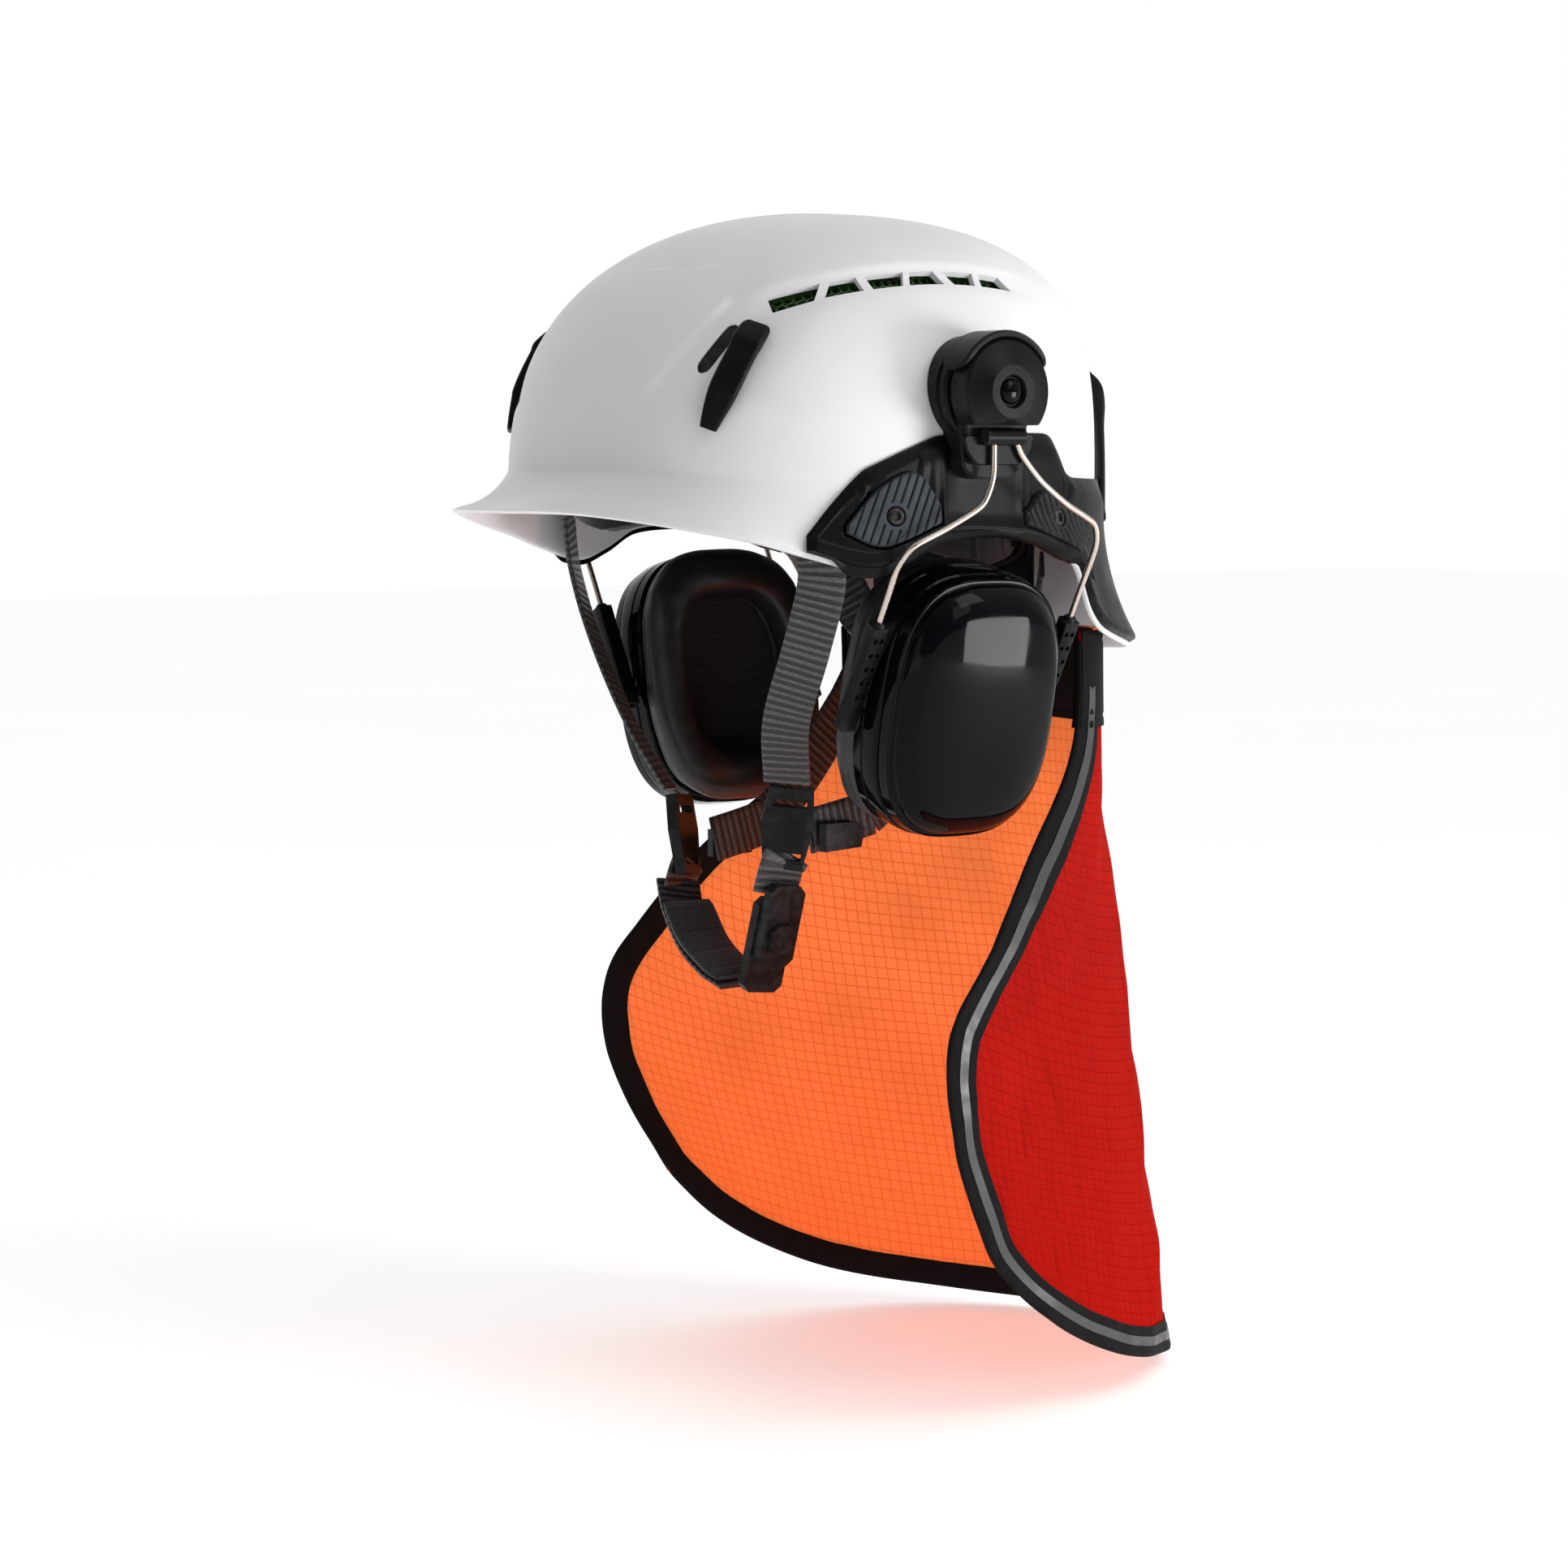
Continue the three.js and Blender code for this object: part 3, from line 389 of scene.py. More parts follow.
def smooth_line(stops):
    """A smooth line through [input, value] stops, as a function of the input."""
    xs, ys = np.array(stops, float).T
    order = np.arange(len(xs))
    before = np.maximum(order - 1, 0)
    after = np.minimum(order + 1, len(xs) - 1)
    slopes = (ys[after] - ys[before]) / (xs[after] - xs[before])

    def line(inputs):
        x = np.clip(inputs, xs[0], xs[-1])
        i = np.clip(np.searchsorted(xs, x, side="right") - 1, 0, len(xs) - 2)
        span = xs[i + 1] - xs[i]
        t = (x - xs[i]) / span
        start = (1 + 2 * t) * (1 - t) ** 2 * ys[i] + t * (1 - t) ** 2 * span * slopes[i]
        end = t * t * (3 - 2 * t) * ys[i + 1] + t * t * (t - 1) * span * slopes[i + 1]
        return start + end

    return line


def ripples(points, wavelength, seed):
    """A smooth field of values about -1 to 1 over points, the same each run."""
    draw = np.random.default_rng(seed)
    total = np.zeros(points.shape[:-1])
    for _ in range(10):
        direction = draw.normal(size=3)
        direction /= np.linalg.norm(direction)
        turn = 2 * np.pi / (wavelength * draw.uniform(0.6, 1.7))
        total += np.sin(points @ direction * turn + draw.uniform(0, 2 * np.pi))
    return total / 5


def normalised(vectors):
    return vectors / np.maximum(np.linalg.norm(vectors, axis=-1, keepdims=True), 1e-9)


def route(stops, spacing, tension=0.5):
    """Points at an even spacing along a smooth curve through the stops."""
    stops = np.array(stops, float)
    padded_stops = np.vstack([2 * stops[0] - stops[1], stops, 2 * stops[-1] - stops[-2]])
    tangents = tension * (padded_stops[2:] - padded_stops[:-2])
    fine = []
    for i in range(len(stops) - 1):
        t = np.linspace(0, 1, 40, endpoint=False)[:, None]
        fine.append(
            (2 * t**3 - 3 * t**2 + 1) * stops[i]
            + (t**3 - 2 * t**2 + t) * tangents[i]
            + (3 * t**2 - 2 * t**3) * stops[i + 1]
            + (t**3 - t**2) * tangents[i + 1]
        )
    fine = np.vstack([*fine, stops[-1:]])
    lengths = np.concatenate([[0], np.cumsum(np.linalg.norm(np.diff(fine, axis=0), axis=1))])
    count = max(int(round(lengths[-1] / spacing)), 2)
    at = np.linspace(0, lengths[-1], count + 1)
    return np.stack([np.interp(at, lengths, fine[:, k]) for k in range(3)], axis=1)


def grid_faces(rows, columns, wrap=False, start=0):
    faces = []
    for i in range(rows - 1):
        for j in range(columns if wrap else columns - 1):
            k = (j + 1) % columns
            a, b = start + i * columns + j, start + i * columns + k
            faces.append((a, b, b + columns, a + columns))
    return faces


def ring_solid(rings, closed=False):
    """A solid through a row of rings; a closed row joins its last ring to its first."""
    rings = np.array(rings, float)
    count, size = rings.shape[:2]
    points = rings.reshape(-1, 3)
    faces = grid_faces(count, size, wrap=True)
    if closed:
        last = (count - 1) * size
        faces += [(last + j, last + (j + 1) % size, (j + 1) % size, j) for j in range(size)]
        return points, faces
    points = np.vstack([points, rings[0].mean(0), rings[-1].mean(0)])
    first_hub, last_hub = count * size, count * size + 1
    for j in range(size):
        k = (j + 1) % size
        faces.append((first_hub, k, j))
        faces.append((last_hub, (count - 1) * size + j, (count - 1) * size + k))
    return points, faces


def slab(front, back):
    """A solid between two matching grids of points, walled in along all four edges."""
    rows, columns = front.shape[:2]
    offset = rows * columns
    points = np.vstack([front.reshape(-1, 3), back.reshape(-1, 3)])
    faces = grid_faces(rows, columns) + grid_faces(rows, columns, start=offset)
    border = [*range(columns - 1)]
    border += [i * columns + columns - 1 for i in range(rows - 1)]
    border += [(rows - 1) * columns + j for j in range(columns - 1, 0, -1)]
    border += [i * columns for i in range(rows - 1, 0, -1)]
    for n, a in enumerate(border):
        b = border[(n + 1) % len(border)]
        faces.append((a, b, b + offset, a + offset))
    return points, faces


def joined(*solids):
    points, faces, start = [], [], 0
    for solid_points, solid_faces in solids:
        points.append(np.asarray(solid_points, float))
        faces += [tuple(start + i for i in face) for face in solid_faces]
        start += len(solid_points)
    return np.vstack(points), faces


def mirrored(solid, side):
    points, faces = solid
    return points * np.array([side, 1, 1]), faces


def mesh_object(name, solid, finish, sharp=35):
    points, faces = solid
    mesh = bpy.data.meshes.new(name)
    mesh.from_pydata((np.asarray(points) * MM).tolist(), [], faces)
    work = bmesh.new()
    work.from_mesh(mesh)
    bmesh.ops.recalc_face_normals(work, faces=work.faces)
    work.to_mesh(mesh)
    work.free()
    shade(mesh, sharp)
    mesh.materials.append(finishes[finish])
    piece = bpy.data.objects.new(name, mesh)
    bpy.context.scene.collection.objects.link(piece)
    return piece


def shade(mesh, sharp):
    mesh.polygons.foreach_set("use_smooth", [True] * len(mesh.polygons))
    mesh.set_sharp_from_angle(angle=np.radians(sharp))


def apply_modifiers(piece, sharp=35):
    graph = bpy.context.evaluated_depsgraph_get()
    mesh = bpy.data.meshes.new_from_object(piece.evaluated_get(graph))
    piece.modifiers.clear()
    piece.data = mesh
    shade(mesh, sharp)


def cut(piece, solid, sharp=35):
    """Takes a solid's space out of a piece."""
    cutter = mesh_object("cutter", solid, "frame")
    modifier = piece.modifiers.new("cut", "BOOLEAN")
    modifier.object = cutter
    modifier.solver = "EXACT"
    apply_modifiers(piece, sharp)
    bpy.data.objects.remove(cutter)


def rounded(piece, width, segments=2, angle=40):
    """Rounds a piece's sharp edges by a width in millimetres."""
    modifier = piece.modifiers.new("rounding", "BEVEL")
    modifier.width = width * MM
    modifier.segments = segments
    modifier.limit_method = "ANGLE"
    modifier.angle_limit = np.radians(angle)
    modifier.harden_normals = False
    apply_modifiers(piece, 50)


def place(piece, body, slot, *nodes):
    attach(piece, body)
    if nodes:
        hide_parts(*nodes)
    return piece


def add(name, solid, finish, body, slot, *nodes, sharp=35):
    return place(mesh_object(name, solid, finish, sharp), body, slot, *nodes)


def frames_along(path, across):
    """Unit vectors along a path, across it and out of its face."""
    along = normalised(np.gradient(path, axis=0))
    side = normalised(across - along * np.sum(across * along, axis=1, keepdims=True))
    return along, side, np.cross(along, side)


def sweep(path, across, section):
    """A solid whose section, (n, 2) or one per stop, holds sideways and outwards distances."""
    _, side, face = frames_along(path, across)
    section = np.broadcast_to(section, (len(path), *np.shape(section)[-2:]))
    rings = path[:, None] + section[..., :1] * side[:, None] + section[..., 1:] * face[:, None]
    return ring_solid(rings)


def tube(path, radius, sides=14):
    heads_along_y = abs(path[1, 1] - path[0, 1]) > 0.9 * np.linalg.norm(path[1] - path[0])
    across = np.broadcast_to([1.0, 0.0, 0.0] if heads_along_y else [0.0, 1.0, 0.0], path.shape)
    along, side, face = frames_along(path, across)
    for i in range(1, len(path)):
        side[i] = side[i - 1] - along[i] * (side[i - 1] @ along[i])
        side[i] /= np.linalg.norm(side[i])
        face[i] = np.cross(along[i], side[i])
    angles = np.arange(sides) * 2 * np.pi / sides
    radius = np.broadcast_to(radius, len(path))[:, None, None]
    circle = np.cos(angles)[None, :, None] * side[:, None] + np.sin(angles)[None, :, None] * face[:, None]
    return ring_solid(path[:, None] + radius * circle)


def turned(profile, axis_point, axis, sides=64):
    """A solid of revolution; the profile holds distances along the axis and radii."""
    axis = normalised(np.array(axis, float))
    helper = np.array([0.0, 0.0, 1.0]) if abs(axis[2]) < 0.9 else np.array([1.0, 0.0, 0.0])
    first = normalised(np.cross(helper, axis))
    second = np.cross(axis, first)
    angles = np.arange(sides) * 2 * np.pi / sides
    spokes = np.cos(angles)[:, None] * first + np.sin(angles)[:, None] * second
    return ring_solid([np.array(axis_point) + along * axis + radius * spokes for along, radius in profile])


def ellipse_section(width, thickness, points=12, squareness=2.6):
    angles = np.arange(points) * 2 * np.pi / points
    bend = 2 / squareness
    return np.stack([
        np.sign(np.cos(angles)) * np.abs(np.cos(angles)) ** bend * width / 2,
        np.sign(np.sin(angles)) * np.abs(np.sin(angles)) ** bend * thickness / 2,
    ], axis=1)


# ---- Shell surface, the same one that the CAD uses ----
DOME_HALF_WIDTH, DOME_HALF_LENGTH, DOME_HEIGHT = 110, 122.5, 121.5
PLAN_EXPONENT = 2.2
FOREHEAD_STEP = 16
SHELL_THICKNESS = 2.8
LINER_TOP = SHELL_THICKNESS + 0.8
LINER_BOTTOM = LINER_TOP + 18

edge_height = smooth_line([
    [0, 2], [20, 1], [45, -9], [56, -16], [68, -22], [76, -17], [84, -9], [97, -8],
    [108, -11], [116, -17], [122, -22], [127, -41], [133, -50], [150, -57], [180, -61],
])


def turn_of(heading):
    return np.abs((np.asarray(heading, float) + 540) % 360 - 180)


def profile(heading, course):
    heading, course = np.broadcast_arrays(np.asarray(heading, float), np.asarray(course, float))
    angle = np.radians(heading)
    across = np.abs(np.sin(angle) / DOME_HALF_WIDTH) ** PLAN_EXPONENT
    lengthwise = np.abs(np.cos(angle) / DOME_HALF_LENGTH) ** PLAN_EXPONENT
    plan = (across + lengthwise) ** (-1 / PLAN_EXPONENT)
    forward = np.cos(angle)
    rearward = (1 - forward) / 2
    roundness = 2 + 0.45 * rearward
    boxiness = 2.6 + 1.6 * rearward
    base = FOREHEAD_STEP * smoothstep((forward + 0.1) / 1.1)
    base_angle = np.arccos((base / DOME_HEIGHT) ** (boxiness / 2))
    fall = np.minimum(course, 1) * base_angle
    radius = plan * np.sin(fall) ** (2 / roundness)
    dome = DOME_HEIGHT * np.maximum(np.cos(fall), 0) ** (2 / boxiness)
    drop = np.clip(course - 1, 0, 1)
    flare = 2 + np.where(forward > 0, 29 * forward**4, 22 * np.abs(forward) ** 3)
    front = smoothstep((forward + 0.2) / 0.8)
    sweep_out = front * (1 - np.sqrt(1 - drop)) + (1 - front) * drop**2
    skirt = base + (edge_height(turn_of(heading)) - base) * drop
    return radius + flare * sweep_out * (course > 1), np.where(course > 1, skirt, dome)


def shell_point(heading, course, depth=0.0):
    heading, course, depth = np.broadcast_arrays(heading, course, depth)
    nudge = 1e-3
    above = profile(heading, np.maximum(course - nudge, nudge))
    below = profile(heading, np.minimum(course + nudge, 2))
    fall = normalised(np.stack([below[0] - above[0], below[1] - above[1]], axis=-1))
    radius, height = profile(heading, course)
    reach = radius + depth * fall[..., 1]
    angle = np.radians(heading)
    return np.stack([reach * np.sin(angle), -reach * np.cos(angle), height - depth * fall[..., 0]], axis=-1)


def course_at(heading, height):
    heading, height = np.broadcast_arrays(np.asarray(heading, float), np.asarray(height, float))
    high, low = np.full(heading.shape, 0.05), np.full(heading.shape, 2.0)
    for _ in range(30):
        middle = (high + low) / 2
        above = profile(heading, middle)[1] > height
        high = np.where(above, middle, high)
        low = np.where(above, low, middle)
    return (high + low) / 2


def vent_line(heading):
    return 0.555 + 4.8e-5 * (turn_of(heading) - 85) ** 2


VENTS = [[47.5, 58], [60.5, 69.5], [72, 81.5], [83.5, 93], [96, 103.5], [105.5, 114]]
VENT_HEIGHT = 0.034
CLIP_SLOT = [(40.5, 0.69), (34.0, 0.81)]
SLOT_HALF_WIDTH = 3.0


def bell(x):
    return np.exp(-(x**2))


def shell_relief(heading, course):
    """How far the outer face lies inside the smooth dome, in millimetres."""
    turn = turn_of(heading)
    vent = vent_line(heading)
    window = smoothstep((turn - 38) / 10) * smoothstep((128 - turn) / 14)
    groove = 0.75 * bell((course - vent - 0.015) / 0.032) * window
    panel = -0.9 * smoothstep((vent - 0.02 - course) / 0.03) * smoothstep((course - 0.2) / 0.3) * window

    # The scoop over the forehead, which ends in a crease across the front.
    crease = 0.470 + 0.00045 * turn
    scoop_window = smoothstep((34 - turn) / 16)
    scoop = 2.3 * smoothstep((course - crease + 0.22) / 0.22)
    scoop = scoop * smoothstep((crease + 0.014 - course) / 0.014) * scoop_window

    # The recess round the front lamp clip and its slot.
    slant = 41.5 - (course - 0.69) * 58
    ahead = (slant - turn) * 1.45
    wall = smoothstep((13.0 - ahead) / 3.2) * smoothstep((ahead + 26) / 22)
    ends = smoothstep((course - 0.60) / 0.03) * smoothstep((0.90 - course) / 0.06)
    recess = 1.7 * wall * ends

    # A soft crease that runs back from under the clip.
    ridge_line = 0.885 + 0.0012 * (turn - 44)
    ridge_window = smoothstep((turn - 40) / 4) * smoothstep((78 - turn) / 26)
    ridge = -0.55 * bell((course - ridge_line) / 0.022) * ridge_window
    return groove + panel + scoop + recess + ridge


def shell_solid():
    headings = np.arange(0, 360, 1.0)
    courses = np.concatenate([
        [0.004, 0.03, 0.07],
        np.linspace(0.12, 0.40, 18),
        np.linspace(0.412, 0.70, 40),
        np.linspace(0.712, 0.985, 28),
        [0.995, 1.0, 1.008, 1.02, 1.04],
        np.linspace(1.07, 1.93, 30),
        [1.965],
    ])
    rings = [shell_point(headings, c, shell_relief(headings, c)) for c in courses]
    for course, depth in [(1.985, 0.15), (1.996, 0.6), (2.0, 1.3), (1.996, 2.1), (1.985, 2.6)]:
        rings.append(shell_point(headings, course, depth))
    for course in courses[::-1]:
        inside = SHELL_THICKNESS + 0.4 * shell_relief(headings, course)
        rings.append(shell_point(headings, course, inside))
    return ring_solid(rings)


def shell_patch(turn, course, outer, inner):
    """A solid between two depths over matching grids of turn and course."""
    return slab(shell_point(turn, course, outer), shell_point(turn, course, inner))


def vent_cutter(index, side):
    """Vents are wider at the top and at the bottom by turns."""
    start, end = VENTS[index]
    slant = 0.55 if index % 2 else -0.55
    rows = np.linspace(-0.45, 1, 4)
    lean = slant * (rows * 2 - 1)
    turns = np.linspace(start - lean, end + lean, 8)
    course = vent_line(turns) + VENT_HEIGHT * rows
    return shell_patch(side * turns, course, -3.0, SHELL_THICKNESS + 3.0)


def shell_bar_path(start, end, steps, side, start_depth=0.0, end_depth=0.0):
    """A straight line over the shell: its points, and its outward and sideways directions."""
    t = np.linspace(0, 1, steps)
    heading = side * (start[0] + (end[0] - start[0]) * t)
    course = start[1] + (end[1] - start[1]) * t
    depth = start_depth + (end_depth - start_depth) * t
    points = shell_point(heading, course, depth)
    out = normalised(shell_point(heading, course, depth - 1) - points)
    along = normalised(np.gradient(points, axis=0))
    return points, out, normalised(np.cross(along, out))


def slot_block(side, half, top, bottom):
    """A round-ended block along the slot, between two levels outwards from the shell."""
    points, out, across = shell_bar_path(*CLIP_SLOT, 15, side)
    half_width = half * np.sqrt(np.clip(1 - np.linspace(-1, 1, 15) ** 8, 0.08, 1))
    corners = [(-1, top), (1, top), (1, bottom), (-1, bottom)]
    rings = np.stack([points + s * half_width[:, None] * across + o * out for s, o in corners], axis=1)
    return ring_solid(rings)


def build_shell():
    shell = mesh_object("shell", shell_solid(), "shell", 50)
    cutters = [vent_cutter(i, side) for side in SIDES.values() for i in range(len(VENTS))]
    cutters += [slot_block(side, SLOT_HALF_WIDTH, 6, -8) for side in SIDES.values()]
    cut(shell, joined(*cutters), 50)
    place(shell, "helmet", "shell", "outer_shell")
    for suffix, side in SIDES.items():
        socket = slot_block(side, SLOT_HALF_WIDTH - 0.1, -2.3, -3.3)
        add(f"slot_socket_{suffix}", socket, "clip", "helmet", "clip")


build_shell()


# ---- Impact liner, with the green tubes under the vents ----
def build_liner():
    headings = np.arange(0, 360, 2.0)
    courses = np.concatenate([[0.02], np.linspace(0.08, 0.86, 30), [0.89, 0.91, 0.92]])
    rings = [shell_point(headings, c, LINER_TOP) for c in courses]
    lower_edge = [(0.925, LINER_TOP + 1.5), (0.925, LINER_BOTTOM - 2), (0.915, LINER_BOTTOM - 0.6)]
    for course, depth in lower_edge:
        rings.append(shell_point(headings, course, depth))
    for course in courses[::-1]:
        channel = 5 * bell((turn_of(headings) % 60 - 30) / 7) * smoothstep((0.85 - course) / 0.2)
        channel = channel * smoothstep((course - 0.15) / 0.2)
        rings.append(shell_point(headings, course, LINER_BOTTOM - channel))
    liner = mesh_object("liner", ring_solid(rings), "foam", 60)
    pockets = []
    for side in SIDES.values():
        turns = np.linspace(43.5, 118, 30)[:, None]
        rows = np.array([-0.05, 0.0, VENT_HEIGHT, VENT_HEIGHT + 0.05])
        pockets.append(shell_patch(side * turns, vent_line(turns) + rows, LINER_TOP - 2, LINER_TOP + 9.8))
    cut(liner, joined(*pockets), 60)
    place(liner, "helmet", "liner_foam", "impact_liner")


TUBE_RADIUS, TUBE_WALL = 2.3, 0.35
TUBE_ROW_STEP = 0.0265
TUBE_TURN_STEP = 2.45


def build_cores():
    """Open tubes packed side by side, their ends towards the vents."""
    angles = np.arange(10) * 2 * np.pi / 10
    for suffix, side in SIDES.items():
        tubes = []
        for row in range(5):
            for n in range(30):
                turn = 45.0 + TUBE_TURN_STEP * (n + 0.5 * (row % 2))
                if turn > 117:
                    continue
                course = vent_line(turn) - 0.036 + row * TUBE_ROW_STEP
                start = shell_point(side * turn, course, LINER_TOP + 1.0)
                end = shell_point(side * turn, course, LINER_TOP + 8.8)
                axis = normalised(end - start)
                first = normalised(np.cross(axis, [0, 0, 1.0]))
                second = np.cross(axis, first)
                spokes = np.cos(angles)[:, None] * first + np.sin(angles)[:, None] * second
                outside, inside = TUBE_RADIUS * spokes, (TUBE_RADIUS - TUBE_WALL) * spokes
                rings = [start + inside, start + outside, end + outside, end + inside]
                tubes.append(ring_solid(rings, closed=True))
        add(f"core_tubes_{suffix}", joined(*tubes), "core", "helmet", "core", f"vent_core_{suffix}")


build_liner()
build_cores()


# ---- Headband, comfort pads and fit dial ----
DIAL_Z = -48
headband_middle = smooth_line([[0, 8], [55, 14], [115, 14], [150, -4], [180, -12]])
headband_half_height = smooth_line([[0, 15], [55, 11], [115, 11], [180, 15]])


def headband_point(heading, grow, up):
    angle = np.radians(heading)
    turn = turn_of(heading)
    return np.stack(np.broadcast_arrays(
        (81 + grow) * np.sin(angle),
        -(97 + grow) * np.cos(angle),
        headband_middle(turn) + up * headband_half_height(turn),
    ), axis=-1)


def soft_pad(point, us, vs, outer, inner, puffs):
    """A padded strip: thick between its seams, which part it into puffs, and thin at its edges."""
    u, v = np.meshgrid(us, vs, indexing="ij")
    from_ends = 1 - np.abs(np.linspace(-1, 1, len(us)))[:, None]
    from_sides = 1 - np.abs(np.linspace(-1, 1, len(vs)))
    edge = np.minimum(from_ends, from_sides * 0.35)
    swell = np.sqrt(smoothstep(edge / 0.16))
    quilt = 1 - 0.35 * bell(((np.linspace(0, puffs, len(us)) % 1) - 0.5) / 0.07)[:, None]
    middle = (outer + inner) / 2
    half = (outer - inner) / 2 * (0.25 + 0.75 * swell)
    return slab(point(u, middle + half, v), point(u, middle - half * quilt, v))


def build_headband():
    """The strip, its brow and nape pads, and the cradle at the nape."""
    headings = np.arange(0, 360, 2.0)
    section = [
        (0, -1), (0.3, -1.04), (1.7, -1.04), (2, -1), (2, -0.2), (2.6, -0.1),
        (2.6, 0.1), (2, 0.2), (2, 1), (1.7, 1.04), (0.3, 1.04), (0, 1),
    ]
    rings = [[headband_point(h, grow, up) for grow, up in section] for h in headings]
    add("headband_strip", ring_solid(rings, closed=True), "frame", "helmet", "frame", "headband")

    pads = [
        ("brow_cushion", "brow_pad", -70, 70, -7, 1.1, 5),
        ("nape_cushion", "nape_pad", 150, 210, -6, 0.95, 3),
    ]
    for name, node, start, end, inner, up, puffs in pads:
        us, vs = np.linspace(start, end, 90), np.linspace(-up, up, 22)
        solid = soft_pad(headband_point, us, vs, -0.8, inner, puffs)
        pad = add(name, solid, "comfort", "helmet", "comfort_pad", node, sharp=70)

    us, vs = np.linspace(140, 220, 60), np.linspace(-3.3, -0.2, 24)
    u, v = np.meshgrid(us, vs, indexing="ij")
    ribs = 0.5 * smoothstep(np.abs(np.sin(np.radians(u) * 18)) * 3 - 1.6)
    cradle = slab(headband_point(u, 5.6 - ribs, v), headband_point(u, 2.8, v))
    add("nape_yoke", cradle, "frame", "helmet", "frame", "nape_cradle")



def build_crown_pad():
    outline = [(0, 0), (0, 34), (1.5, 37), (6, 38.5), (9.5, 35), (11.5, 30), (13.5, 12), (14, 0.5)]
    solid = turned(outline, (0, 0, 84.4), (0, 0, 1), 96)
    crown = add("crown_cushion", solid, "comfort", "helmet", "comfort_pad", "crown_pad", sharp=70)


def build_dial():
    """The ratchet dial, with 24 knurls round its rim."""
    sides = 96
    knurl = 1 - 0.055 * (np.arange(sides) % 4 < 2)
    outline = [
        (103, 0.5), (103, 13.5), (104, 14.6), (105, 15.2), (109, 15.2),
        (110.4, 14.4), (111.3, 12.8), (111.3, 10.2), (110.2, 9.6), (110.2, 0.5),
    ]
    points, faces = turned(outline, (0, 0, DIAL_Z), (0, 1, 0), sides)
    axis = np.array([0, DIAL_Z])
    for ring in range(1, 7):
        block = points[ring * sides:(ring + 1) * sides]
        block[:, [0, 2]] = axis + (block[:, [0, 2]] - axis) * knurl[:, None] * 1.03
    add("ratchet_dial", (points, faces), "clip", "fit_dial", "clip", "fit_dial")


build_headband()
build_crown_pad()
build_dial()


# ---- Lower frame and its pads ----
FRAME_FRONT = 55.5
frame_top_height = smooth_line([
    [55, -10], [60, 3], [66, 15.6], [69, 18.8], [79, 27], [84, 30], [110, 31], [115, 29], [120, 16],
    [126, 13], [180, 12],
])
FRONT_PAD = {
    "from": 63, "to": 83, "screw": (72.8, -1.4),
    "lean": -0.36, "pitch": 3.55, "groove": 0.30, "finish": "pad_grey",
    "top": smooth_line([[62, -7], [63, -5], [69.5, 9.5], [77.5, 15.5], [83, 3], [84, 1]]),
    "bottom": smooth_line([[62, -8], [63, -8], [68, -12.5], [72, -12.8], [83, -4.5], [84, -4]]),
}
REAR_PAD = {
    "from": 105, "to": 127, "screw": (115, -3),
    "lean": 0.42, "pitch": 3.6, "groove": 0.52, "finish": "pad_dark",
    "top": smooth_line([[103, -3], [105, 0], [111, 8], [127, -8], [129, -10]]),
    "bottom": smooth_line([[103, -5], [105, -6], [113, -11], [121, -17], [127, -27], [129, -29]]),
}
PADS = {"front": FRONT_PAD, "rear": REAR_PAD}
MM_PER_DEGREE = 1.98


def frame_relief(turn, height, top, bottom):
    """How far out the frame's face stands: a bevel, a raised lip and facets."""
    below = top - height
    out = 0.9 + 2.3 * smoothstep(below / 4.6)
    out += 0.9 * smoothstep((below - 4.4) / 0.9)
    out -= 0.55 * smoothstep((below - 6.0) / 0.8) * smoothstep((150 - turn) / 20)
    front_lip = smoothstep((76 - turn) / 3) * smoothstep((bottom + 6.2 - height) / 0.8)
    out += 1.3 * front_lip
    facet = smoothstep((turn - 84) / 1.2) * smoothstep((104 - turn) / 1.2) * smoothstep((below - 9) / 1.5)
    out -= 0.7 * facet
    rib_zone = smoothstep((turn - 78) / 2) * smoothstep((90 - turn) / 2) * smoothstep((below - 0.8) / 0.5)
    out += 0.35 * rib_zone * smoothstep((4.6 - below) / 0.5) * np.sin(below * 4.2)
    for pad in PADS.values():
        inside = pad_edge_distance(pad, turn, height)
        out -= 1.9 * smoothstep((inside + 1.3) / 0.5)
    return np.clip(out, 0.85 + 0.9 * smoothstep((below + 0.2) / 0.8), 3.9)


def pad_edge_distance(pad, turn, height):
    """Millimetres inside a pad's outline, negative outside it."""
    sides = [
        (turn - pad["from"]) * MM_PER_DEGREE,
        (pad["to"] - turn) * MM_PER_DEGREE,
        pad["top"](turn) - height,
        height - pad["bottom"](turn),
    ]
    return np.minimum.reduce(np.broadcast_arrays(*sides))


